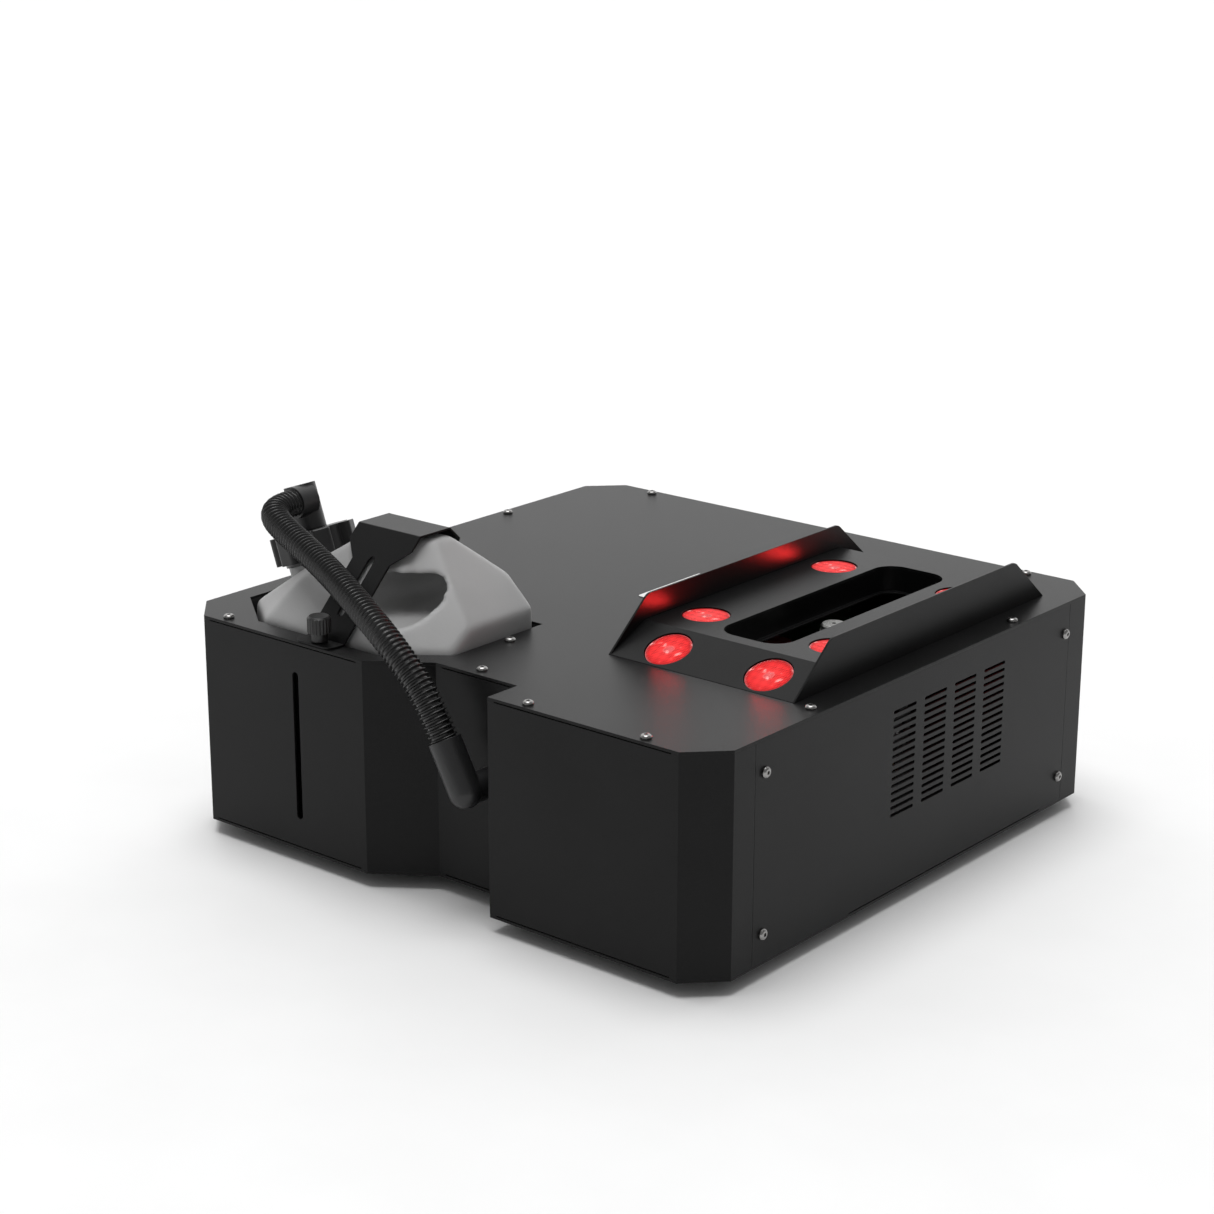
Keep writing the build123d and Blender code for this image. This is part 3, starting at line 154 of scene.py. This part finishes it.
# Stage, light and camera. Angles are in degrees.
FLOOR_REACH = 30
SURROUND_LIFT = 0.25
SURROUND_DIM = 0.30
SURROUND_BRIGHT = 1.15
CAMERA_AT = (1.1851, -1.4733, 0.757)
CAMERA_AZIMUTH = 39.743
CAMERA_ELEVATION = 17.452
CAMERA_ROLL = 0.106
CAMERA_LENS = 78.93
CAMERA_SENSOR = 36

# Broad patches of colour in every finish, and the depth of its grain.
MOTTLE_SCALE = 9
GRAIN_DEPTH = 0.0004


# ---------------------------------------------------------------- materials
def node_material(name, base, rough, metallic=0.0):
    """A material with its shader and the object coordinates ready."""
    material = bpy.data.materials.new(name)
    material.use_nodes = True
    tree = material.node_tree
    shader = tree.nodes["Principled BSDF"]
    shader.inputs["Base Color"].default_value = (*base, 1)
    shader.inputs["Roughness"].default_value = rough
    shader.inputs["Metallic"].default_value = metallic
    coords = tree.nodes.new("ShaderNodeTexCoord")
    return material, tree, shader, coords.outputs["Object"]


def noise(tree, vector, scale, detail=3.0):
    """A noise texture's factor."""
    texture = tree.nodes.new("ShaderNodeTexNoise")
    texture.inputs["Scale"].default_value = scale
    texture.inputs["Detail"].default_value = detail
    tree.links.new(vector, texture.inputs["Vector"])
    return texture.outputs["Fac"]


def ramp(tree, factor, low, high, start=0.35, end=0.65):
    """A colour ramp between two colours."""
    node = tree.nodes.new("ShaderNodeValToRGB")
    node.color_ramp.elements[0].position = start
    node.color_ramp.elements[1].position = end
    node.color_ramp.elements[0].color = (*low, 1)
    node.color_ramp.elements[1].color = (*high, 1)
    tree.links.new(factor, node.inputs["Fac"])
    return node.outputs["Color"]


def stretch(tree, vector, scale):
    """Coordinates scaled on each axis."""
    mapping = tree.nodes.new("ShaderNodeMapping")
    mapping.inputs["Scale"].default_value = scale
    tree.links.new(vector, mapping.inputs["Vector"])
    return mapping.outputs["Vector"]


def blend_colours(tree, kind, amount, first, second):
    """Two colours mixed by one of the blend types."""
    node = tree.nodes.new("ShaderNodeMix")
    node.data_type = "RGBA"
    node.blend_type = kind
    node.inputs["Factor"].default_value = amount
    sockets = [socket for socket in node.inputs if socket.type == "RGBA"]
    tree.links.new(first, sockets[0])
    tree.links.new(second, sockets[1])
    return next(socket for socket in node.outputs if socket.type == "RGBA")


def bump(tree, shader, height, strength, distance, edge=0.0):
    """Surface relief from a height, over slightly rounded edges."""
    node = tree.nodes.new("ShaderNodeBump")
    node.inputs["Strength"].default_value = strength
    node.inputs["Distance"].default_value = distance
    tree.links.new(height, node.inputs["Height"])
    if edge:
        bevel = tree.nodes.new("ShaderNodeBevel")
        bevel.samples = 4
        bevel.inputs["Radius"].default_value = edge
        tree.links.new(bevel.outputs["Normal"], node.inputs["Normal"])
    tree.links.new(node.outputs["Normal"], shader.inputs["Normal"])


def finish_material(name, base, rough, metallic=0.0, spread=0.25, grain=900, relief=0.15,
                    rough_spread=0.12, edge=0.0006, brushed=None, specular=0.5):
    """A base finish: mottled colour, uneven gloss and fine grain."""
    material, tree, shader, coords = node_material(name, base, rough, metallic)
    shader.inputs["Specular IOR Level"].default_value = specular
    broad = noise(tree, coords, MOTTLE_SCALE)
    low = tuple(value * (1 - spread) for value in base)
    high = tuple(min(1, value * (1 + spread)) for value in base)
    tree.links.new(ramp(tree, broad, low, high), shader.inputs["Base Color"])
    fine_at = stretch(tree, coords, brushed) if brushed else coords
    fine = noise(tree, fine_at, grain, 2.0)
    gloss = tree.nodes.new("ShaderNodeMapRange")
    gloss.inputs["To Min"].default_value = rough - rough_spread
    gloss.inputs["To Max"].default_value = rough + rough_spread
    tree.links.new(fine, gloss.inputs["Value"])
    tree.links.new(gloss.outputs["Result"], shader.inputs["Roughness"])
    bump(tree, shader, fine, relief, GRAIN_DEPTH, edge)
    return material


def lamp_material():
    """Red lit optic: a plain darker disc in the middle, brightest round it, with painted white glints on
    its facets.
    """
    material, tree, shader, coords = node_material("red_lens", (0.35, 0.004, 0.006), 0.12)
    length = tree.nodes.new("ShaderNodeVectorMath")
    length.operation = "LENGTH"
    flat = stretch(tree, coords, (1, 1, 0))
    tree.links.new(flat, length.inputs[0])
    glow = tree.nodes.new("ShaderNodeValToRGB")
    disc_red = (0.60, 0.010, 0.012)
    stops = [(0.0, disc_red), (0.20, disc_red), (0.27, (0.95, 0.055, 0.055)),
             (0.80, (0.78, 0.025, 0.027)), (1.0, (0.22, 0.001, 0.003))]
    while len(glow.color_ramp.elements) < len(stops):
        glow.color_ramp.elements.new(0.5)
    for element, (position, colour) in zip(glow.color_ramp.elements, stops):
        element.position = position
        element.color = (*colour, 1)
    scaled = tree.nodes.new("ShaderNodeMath")
    scaled.operation = "DIVIDE"
    scaled.inputs[1].default_value = LENS_R
    tree.links.new(length.outputs["Value"], scaled.inputs[0])
    tree.links.new(scaled.outputs["Value"], glow.inputs["Fac"])
    cells = tree.nodes.new("ShaderNodeTexVoronoi")
    cells.voronoi_dimensions = "2D"
    cells.inputs["Scale"].default_value = 620
    cells.inputs["Randomness"].default_value = 0.05
    tree.links.new(coords, cells.inputs["Vector"])
    facets = ramp(tree, cells.outputs["Distance"], (1.0, 1.0, 1.0), (0.10, 0.03, 0.03),
                  start=0.30, end=0.58)
    cut = blend_colours(tree, "MULTIPLY", 1.0, glow.outputs["Color"], facets)
    # Painted highlight: white glints from noise, added into the lens's red emission colour on its facets.
    glints = noise(tree, coords, 150, 1.0)
    painted_glints = ramp(tree, glints, (0.0, 0.0, 0.0), (1.0, 0.75, 0.72), start=0.60, end=0.70)
    painted_glints_on_facets = blend_colours(tree, "MULTIPLY", 1.0, painted_glints, facets)
    lit = blend_colours(tree, "ADD", 0.5, cut, painted_glints_on_facets)
    tree.links.new(lit, shader.inputs["Emission Color"])
    shader.inputs["Emission Strength"].default_value = 1.15
    shader.inputs["Coat Weight"].default_value = 0.6
    shader.inputs["Coat Roughness"].default_value = 0.05
    bump(tree, shader, cells.outputs["Distance"], 0.3, GRAIN_DEPTH)
    return material


def milky_material():
    """Translucent jug plastic with a fine grain."""
    material = finish_material("milky_plastic", (0.36, 0.360, 0.360), 0.42, spread=0.10, grain=500,
                               relief=0.12, rough_spread=0.08, edge=0)
    shader = material.node_tree.nodes["Principled BSDF"]
    shader.inputs["Subsurface Weight"].default_value = 0.6
    shader.inputs["Subsurface Radius"].default_value = (1, 1, 1)
    shader.inputs["Subsurface Scale"].default_value = 0.02
    shader.inputs["Transmission Weight"].default_value = 0.12
    return material


def fluid_material():
    """Clear fog fluid."""
    material = finish_material("fluid", (0.85, 0.88, 0.9), 0.1, spread=0.02, rough_spread=0.03)
    material.node_tree.nodes["Principled BSDF"].inputs["Transmission Weight"].default_value = 0.8
    return material


# Scale of the grain along each axis for metal brushed along X.
BRUSHED_X = (0.06, 1, 1)
MATERIALS = {
    "coated_steel": finish_material("coated_steel", (0.0050, 0.0050, 0.0052), 0.33, grain=1500,
                                    relief=0.22, rough_spread=0.07, specular=0.16),
    "bay_liner": finish_material("bay_liner", (0.010, 0.010, 0.010), 0.55),
    "foot_rubber": finish_material("foot_rubber", (0.012, 0.012, 0.012), 0.75, relief=0.3),
    "bright_screw": finish_material("bright_screw", (0.30, 0.295, 0.29), 0.24, metallic=1.0,
                                    spread=0.08, grain=2500, relief=0.1, edge=0.0004),
    "red_lens": lamp_material(),
    "circuit_board": finish_material("circuit_board", (0.01, 0.06, 0.02), 0.35, grain=300),
    "milky_plastic": milky_material(),
    "fluid": fluid_material(),
    "black_plastic": finish_material("black_plastic", (0.011, 0.011, 0.0115), 0.38, grain=1100,
                                     relief=0.2, edge=0.0008),
    "hose_plastic": finish_material("hose_plastic", (0.008, 0.008, 0.0082), 0.30, grain=700,
                                    relief=0.1, edge=0),
    "tube_plastic": finish_material("tube_plastic", (0.7, 0.7, 0.7), 0.2, spread=0.05),
    "knob_black": finish_material("knob_black", (0.010, 0.010, 0.010), 0.42, grain=1300, edge=0.0005),
    "bright_steel": finish_material("bright_steel", (0.55, 0.55, 0.55), 0.3, metallic=1.0, spread=0.1,
                                    grain=900, brushed=BRUSHED_X),
    "nozzle_metal": finish_material("nozzle_metal", (0.32, 0.32, 0.31), 0.3, metallic=1.0, spread=0.08,
                                    grain=1400, edge=0.0004),
    "bush_brass": finish_material("bush_brass", (0.65, 0.45, 0.18), 0.3, metallic=1.0, spread=0.1),
    "cast_aluminium": finish_material("cast_aluminium", (0.5, 0.5, 0.5), 0.5, metallic=1.0, relief=0.4),
    "gear_plastic": finish_material("gear_plastic", (0.02, 0.02, 0.02), 0.4),
    "pinion_brass": finish_material("pinion_brass", (0.65, 0.45, 0.18), 0.25, metallic=1.0, spread=0.1),
    "motor_black": finish_material("motor_black", (0.015, 0.015, 0.015), 0.4),
    "relay_steel": finish_material("relay_steel", (0.5, 0.5, 0.5), 0.35, metallic=1.0, brushed=BRUSHED_X),
    "display_window": finish_material("display_window", (0.006, 0.008, 0.01), 0.08, grain=80,
                                      relief=0.02, rough_spread=0.02),
    "button_plastic": finish_material("button_plastic", (0.05, 0.05, 0.05), 0.45),
    "socket_metal": finish_material("socket_metal", (0.012, 0.012, 0.012), 0.35),
    "label_paper": finish_material("label_paper", (0.75, 0.75, 0.74), 0.4, spread=0.03, relief=0.05),
}

for part in frame["record"]["subparts"]:
    mesh = NODES[part["node"]].data
    mesh.materials.clear()
    mesh.materials.append(MATERIALS[part["material_slot"]])


# ---------------------------------------------------------------- mesh helpers
def mesh_from(made, name):
    """A new mesh from a bmesh, which is freed."""
    mesh = bpy.data.meshes.new(name)
    made.to_mesh(mesh)
    made.free()
    return mesh


def add_piece(name, mesh, slot, replaces=(), smooth=True, material=None, place=None):
    """A new piece from a mesh: placed, finished, and riding on the housing."""
    piece = bpy.data.objects.new(name, mesh)
    if place is not None:
        piece.matrix_world = place
    bpy.context.scene.collection.objects.link(piece)
    mesh.materials.clear()
    mesh.materials.append(MATERIALS[material or slot])
    mesh.polygons.foreach_set("use_smooth", [smooth] * len(mesh.polygons))
    mesh.update()
    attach(piece, HOUSING)
    if replaces:
        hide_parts(*replaces)
    return piece


def applied(piece):
    """The mesh of an object with its modifiers applied, as a new mesh; the object is removed."""
    bpy.context.view_layer.update()
    graph = bpy.context.evaluated_depsgraph_get()
    mesh = bpy.data.meshes.new_from_object(piece.evaluated_get(graph))
    bpy.data.objects.remove(piece)
    return mesh


def frames_along(points):
    """Two crosswise unit vectors at each point of a line, carried along it without twist."""
    across = None
    pairs = []
    for i in range(len(points)):
        ahead = (points[min(i + 1, len(points) - 1)] - points[max(i - 1, 0)]).normalized()
        if across is None:
            across = ahead.orthogonal().normalized()
        across = (across - ahead * across.dot(ahead)).normalized()
        pairs.append((across.copy(), ahead.cross(across)))
    return pairs


def join_rings(made, rings):
    """Faces between each ring of points and the next."""
    for one, two in zip(rings, rings[1:]):
        for side in range(len(one)):
            after = (side + 1) % len(one)
            made.faces.new((one[side], one[after], two[after], two[side]))


def slab_mesh(name, first, second):
    """A closed block between two matching outlines."""
    made = bmesh.new()
    front = [made.verts.new(point) for point in first]
    back = [made.verts.new(point) for point in second]
    made.faces.new(front)
    made.faces.new(list(reversed(back)))
    for i in range(len(front)):
        after = (i + 1) % len(front)
        made.faces.new((front[i], back[i], back[after], front[after]))
    bmesh.ops.recalc_face_normals(made, faces=made.faces)
    return mesh_from(made, name)


def tube_mesh(name, points, radii, sides, groove=None):
    """A closed tube through points with a radius at each, which groove(side, point, radius) may change."""
    made = bmesh.new()
    rings = []
    for point, radius, (u, v) in zip(points, radii, frames_along(points)):
        ring = []
        for side in range(sides):
            turn = 2 * math.pi * side / sides
            r = groove(side, len(rings), radius) if groove else radius
            ring.append(made.verts.new(point + (u * math.cos(turn) + v * math.sin(turn)) * r))
        rings.append(ring)
    join_rings(made, rings)
    made.faces.new(list(reversed(rings[0])))
    made.faces.new(rings[-1])
    bmesh.ops.recalc_face_normals(made, faces=made.faces)
    return mesh_from(made, name)


# ---------------------------------------------------------------- hose
def route_spline(name, points):
    """A smooth NURBS curve whose control points are the route."""
    curve = bpy.data.curves.new(name, "CURVE")
    curve.dimensions = "3D"
    curve.resolution_u = 48
    spline = curve.splines.new("NURBS")
    spline.points.add(len(points) - 1)
    for control, point in zip(spline.points, points):
        control.co = (*point, 1)
    spline.order_u = 3
    spline.use_endpoint_u = True
    return bpy.data.objects.new(name, curve)


def spline_points(curve_object):
    """Evenly spaced points read from the curve, and how far along it each one is."""
    bpy.context.scene.collection.objects.link(curve_object)
    mesh = applied(curve_object)
    line = [v.co.copy() for v in mesh.vertices]
    bpy.data.meshes.remove(mesh)
    travelled = np.cumsum([0] + [(b - a).length for a, b in zip(line, line[1:])])
    steps = int(travelled[-1] / (RING_PITCH / POINTS_PER_RING))
    wanted = np.linspace(0, travelled[-1], steps)
    coords = np.array([tuple(p) for p in line])
    even = [np.interp(wanted, travelled, coords[:, axis]) for axis in range(3)]
    return [Vector(p) for p in zip(*even)], wanted


hose_points, hose_at = spline_points(route_spline("hose_route", HOSE_ROUTE))


def hose_radius(distance):
    """Flat-topped rings with rounded valleys between them."""
    wave = math.cos(2 * math.pi * distance / RING_PITCH)
    crest = 1 / (1 + math.exp(-RING_SHARPNESS * (wave - CREST_LEVEL)))
    return HOSE_D / 2 - RING_DEPTH * (1 - crest)


def slit(side, point, radius):
    """The lengthwise slit of split hose: a groove, with a smooth lap beside it near the lower end."""
    if side in SLIT_DEPTHS:
        return radius - SLIT_DEPTHS[side]
    share = point / len(hose_points)
    if side in LAP_SIDES and LAP_RUN[0] < share < LAP_RUN[1]:
        return HOSE_D / 2 - LAP_DEPTH
    return radius


hose_radii = [hose_radius(distance) for distance in hose_at]
hose = add_piece("hose_corrugated",
                 tube_mesh("hose_corrugated", hose_points, hose_radii, HOSE_SIDES, slit),
                 "hose_plastic", replaces=("hose",))


# ---------------------------------------------------------------- jug
def capsule_mesh(name, centre, width, height, depth):
    """A block along Y whose section is a slot with round ends."""
    steps = 14
    half = (width - height) / 2
    outline = []
    for side in (1, -1):
        for step in range(steps + 1):
            turn = side * math.pi / 2 - math.pi * step / steps
            outline.append((centre[0] + side * half + height / 2 * math.cos(turn),
                            centre[2] + height / 2 * math.sin(turn)))
    return slab_mesh(name, [(x, centre[1] - depth / 2, z) for x, z in outline],
                     [(x, centre[1] + depth / 2, z) for x, z in outline])


def even_out(piece):
    """Remakes the piece's skin in small even faces."""
    remesh = piece.modifiers.new("remesh", "REMESH")
    remesh.mode = "VOXEL"
    remesh.voxel_size = JUG_VOXEL


def jug_mesh():
    """The jug as a soft-edged moulding: cut to its shoulders, rounded, pierced and smoothed."""
    made = bmesh.new()
    bmesh.ops.create_cube(made, size=1)
    size = JUG_HIGH - JUG_LOW
    for vert in made.verts:
        vert.co = Vector((JUG_LOW[i] + (vert.co[i] + 0.5) * size[i] for i in range(3)))
    for point, normal in JUG_CUTS:
        bmesh.ops.bisect_plane(made, geom=made.verts[:] + made.edges[:] + made.faces[:],
                               plane_co=point, plane_no=normal, clear_outer=True)
        open_edges = [edge for edge in made.edges if edge.is_boundary]
        bmesh.ops.holes_fill(made, edges=open_edges)
    bmesh.ops.recalc_face_normals(made, faces=made.faces)
    bmesh.ops.bevel(made, geom=made.edges[:], offset=JUG_EDGE, segments=4, profile=0.5,
                    affect="EDGES", clamp_overlap=True)
    body = bpy.data.objects.new("jug_form", mesh_from(made, "jug_rounded"))
    bpy.context.scene.collection.objects.link(body)
    cutter = bpy.data.objects.new(
        "hand_hole", capsule_mesh("hand_hole", HAND_HOLE_CENTRE, HAND_HOLE_WIDTH, HAND_HOLE_HEIGHT,
                                  HAND_HOLE_CUTTER_DEPTH))
    neck_ends = [CAP_CENTRE - NECK_AXIS * below for below in NECK_BELOW_CAP]
    neck = bpy.data.objects.new("neck", tube_mesh("neck", neck_ends, [NECK_R, NECK_R], NECK_SIDES))
    for tool in (cutter, neck):
        bpy.context.scene.collection.objects.link(tool)
    even_out(body)
    for tool, operation in ((cutter, "DIFFERENCE"), (neck, "UNION")):
        cut = body.modifiers.new("cut", "BOOLEAN")
        cut.operation = operation
        cut.object = tool
    even_out(body)
    soften = body.modifiers.new("soften", "SMOOTH")
    soften.factor = 0.5
    soften.iterations = JUG_SMOOTHING
    result = applied(body)
    for tool in (cutter, neck):
        bpy.data.objects.remove(tool)
    return result


add_piece("jug_moulded", jug_mesh(), "milky_plastic", replaces=("jug",))


# ---------------------------------------------------------------- lamps
def facet_corner(column, row, pitch, reach):
    """A corner of the grid of facets, drawn in to the rim where it would lie past it."""
    x = -LENS_R + column * pitch
    y = -LENS_R + row * pitch
    distance = math.hypot(x, y)
    if distance > reach:
        x, y = x * reach / distance, y * reach / distance
    return x, y


def add_facets(made, reach):
    """Square pits across the lens's face, but nearly flat in the plain disc in the middle."""
    pitch = 2 * LENS_R / FACETS_ACROSS
    for column in range(FACETS_ACROSS):
        for row in range(FACETS_ACROSS):
            corners = [facet_corner(column + i, row + j, pitch, reach)
                       for i, j in ((0, 0), (1, 0), (1, 1), (0, 1))]
            following = corners[1:] + corners[:1]
            diagonal = math.hypot(corners[0][0] - corners[2][0], corners[0][1] - corners[2][1])
            double_area = abs(sum(a[0] * b[1] - b[0] * a[1] for a, b in zip(corners, following)))
            if double_area < pitch * pitch * MIN_DOUBLE_AREA or diagonal < pitch * MIN_DIAGONAL:
                continue
            middle = (sum(c[0] for c in corners) / 4, sum(c[1] for c in corners) / 4)
            in_disc = math.hypot(*middle) < PLAIN_DISC_R
            bottom = made.verts.new((*middle, PLAIN_DISC_HEIGHT if in_disc else -FACET_DEPTH))
            base = [made.verts.new((*corner, 0)) for corner in corners]
            for a, b in zip(base, base[1:] + base[:1]):
                made.faces.new((a, b, bottom))
    bmesh.ops.remove_doubles(made, verts=made.verts, dist=1e-6)


def lens_mesh(name):
    """A faceted optic with a narrow rim and a cone behind."""
    made = bmesh.new()
    reach = LENS_R - LENS_RIM
    add_facets(made, reach)
    # Radius and height at the rim's inner edge, its outer edge, its foot and the cone's end.
    profile = [(reach - 0.0008, -0.0003), (LENS_R, -0.0001), (LENS_R, -0.0014), (LENS_END_R, -LENS_DEPTH)]
    rings = []
    for radius, height in profile:
        ring = []
        for side in range(LENS_SIDES):
            turn = 2 * math.pi * side / LENS_SIDES
            ring.append(made.verts.new((radius * math.cos(turn), radius * math.sin(turn), height)))
        rings.append(ring)
    join_rings(made, rings)
    made.faces.new(rings[-1])
    return mesh_from(made, name)


def lens_place(node):
    """Where a lens's face lies and how it tips, from its CAD box and the pod's slopes."""
    low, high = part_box(node)
    middle = (low + high) / 2
    pod_low, pod_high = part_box("led_pod")
    if middle.y < pod_low.y + POD_SLOPE_RUN:
        foot_y, inward = pod_low.y, 1
    elif middle.y > pod_high.y - POD_SLOPE_RUN:
        foot_y, inward = pod_high.y, -1
    else:
        return Matrix.Translation((middle.x, middle.y, high.z))
    turn = Matrix.Rotation(inward * POD_SLOPE, 4, "X")
    face = Vector((middle.x, foot_y + inward * LENS_UP_SLOPE * math.cos(POD_SLOPE),
                   POD_FOOT_Z + LENS_UP_SLOPE * math.sin(POD_SLOPE)))
    face -= turn @ Vector((0, 0, LENS_RECESS))
    return Matrix.Translation(face) @ turn


def red_glow(name, place, watts):
    """The light of one lamp, a disc facing out of it that the camera can't see."""
    data = bpy.data.lights.new(name, "AREA")
    data.shape = "DISK"
    data.size = GLOW_D
    data.energy = watts
    data.color = (1.0, 0.03, 0.03)
    light = bpy.data.objects.new(name, data)
    facing_out = Matrix.Rotation(math.pi, 4, "X")
    light.matrix_world = place @ Matrix.Translation((0, 0, GLOW_HEIGHT)) @ facing_out
    light.visible_camera = False
    bpy.context.scene.collection.objects.link(light)


for number in range(1, LENS_COUNT + 1):
    lens_name = f"lens_{number}"
    lens_at = lens_place(lens_name)
    add_piece(f"{lens_name}_optic", lens_mesh(f"{lens_name}_optic"), "red_lens",
              replaces=(lens_name,), smooth=False, place=lens_at)
    level = lens_at.col[2].z > 0.99
    red_glow(f"{lens_name}_glow", lens_at, DECK_WATTS if level else SLOPE_WATTS)


# ---------------------------------------------------------------- blank label on the top cover
def label_mesh():
    """A thin blank label with rounded corners, lying on the cover."""
    (x0, x1), (y0, y1) = LABEL_X, LABEL_Y
    corners = ((x1 - LABEL_CORNER, y1 - LABEL_CORNER, 0), (x0 + LABEL_CORNER, y1 - LABEL_CORNER, 90),
               (x0 + LABEL_CORNER, y0 + LABEL_CORNER, 180), (x1 - LABEL_CORNER, y0 + LABEL_CORNER, 270))
    outline = []
    for x, y, start in corners:
        for step in range(LABEL_CORNER_STEPS + 1):
            turn = math.radians(start + 90 / LABEL_CORNER_STEPS * step)
            outline.append((x + LABEL_CORNER * math.cos(turn), y + LABEL_CORNER * math.sin(turn)))
    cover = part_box("top_cover")[1].z
    return slab_mesh("blank_label", [(x, y, cover + LABEL_TOP) for x, y in outline],
                     [(x, y, cover + LABEL_UNDERSIDE) for x, y in outline])


add_piece("blank_label", label_mesh(), "milky_plastic", smooth=False, material="label_paper")


# ---------------------------------------------------------------- stage, light and camera
def make_floor():
    """A plain pale floor."""
    mesh = bpy.data.meshes.new("floor")
    corners = [(x * FLOOR_REACH, y * FLOOR_REACH, 0) for x, y in ((-1, -1), (1, -1), (1, 1), (-1, 1))]
    mesh.from_pydata(corners, [], [(0, 1, 2, 3)])
    floor = bpy.data.objects.new("floor", mesh)
    bpy.context.scene.collection.objects.link(floor)
    mesh.materials.append(finish_material("floor_paper", (0.88, 0.88, 0.88), 0.9, spread=0.01,
                                          grain=60, relief=0.01, rough_spread=0.02, edge=0))


def make_world(azimuth):
    """Soft studio surround: bright beyond the object, dim on the camera's side."""
    world = bpy.data.worlds.new("studio")
    bpy.context.scene.world = world
    world.use_nodes = True
    tree = world.node_tree
    background = tree.nodes["Background"]
    background.inputs["Color"].default_value = (1, 1, 1, 1)
    coords = tree.nodes.new("ShaderNodeTexCoord")
    dot = tree.nodes.new("ShaderNodeVectorMath")
    dot.operation = "DOT_PRODUCT"
    dot.inputs[1].default_value = (-math.sin(azimuth), math.cos(azimuth), SURROUND_LIFT)
    tree.links.new(coords.outputs["Generated"], dot.inputs[0])
    spread = tree.nodes.new("ShaderNodeMapRange")
    spread.interpolation_type = "SMOOTHSTEP"
    spread.inputs["From Min"].default_value = 0.15
    spread.inputs["From Max"].default_value = 0.85
    spread.inputs["To Min"].default_value = SURROUND_DIM
    spread.inputs["To Max"].default_value = SURROUND_BRIGHT
    tree.links.new(dot.outputs["Value"], spread.inputs["Value"])
    tree.links.new(spread.outputs["Result"], background.inputs["Strength"])


def make_sun(name, azimuth, elevation, strength, angle):
    """A broad soft light from a direction given in degrees."""
    data = bpy.data.lights.new(name, "SUN")
    data.energy = strength
    data.angle = math.radians(angle)
    light = bpy.data.objects.new(name, data)
    a, e = math.radians(azimuth), math.radians(elevation)
    towards = Vector((math.sin(a) * math.cos(e), -math.cos(a) * math.cos(e), math.sin(e)))
    light.rotation_mode = "QUATERNION"
    light.rotation_quaternion = (-towards).to_track_quat("-Z", "Y")
    bpy.context.scene.collection.objects.link(light)


def make_camera():
    """Makes the camera, and returns the azimuth that it looks from."""
    azimuth = math.radians(CAMERA_AZIMUTH)
    elevation = math.radians(CAMERA_ELEVATION)
    roll = math.radians(CAMERA_ROLL)
    back = Vector((math.sin(azimuth) * math.cos(elevation), -math.cos(azimuth) * math.cos(elevation),
                   math.sin(elevation)))
    right = Vector((math.cos(azimuth), math.sin(azimuth), 0))
    up = back.cross(right)
    turned_right = right * math.cos(roll) + up * math.sin(roll)
    turned_up = up * math.cos(roll) - right * math.sin(roll)
    data = bpy.data.cameras.new("camera")
    data.sensor_width = CAMERA_SENSOR
    data.lens = CAMERA_LENS
    data.clip_start, data.clip_end = 0.05, 200
    camera = bpy.data.objects.new("camera", data)
    turn = Matrix((turned_right, turned_up, back)).transposed().to_4x4()
    camera.matrix_world = Matrix.Translation(CAMERA_AT) @ turn
    bpy.context.scene.collection.objects.link(camera)
    bpy.context.scene.camera = camera
    return azimuth


make_floor()
make_world(make_camera())
make_sun("key", azimuth=300, elevation=86, strength=1.9, angle=40)
bpy.context.scene.view_settings.view_transform = "Standard"
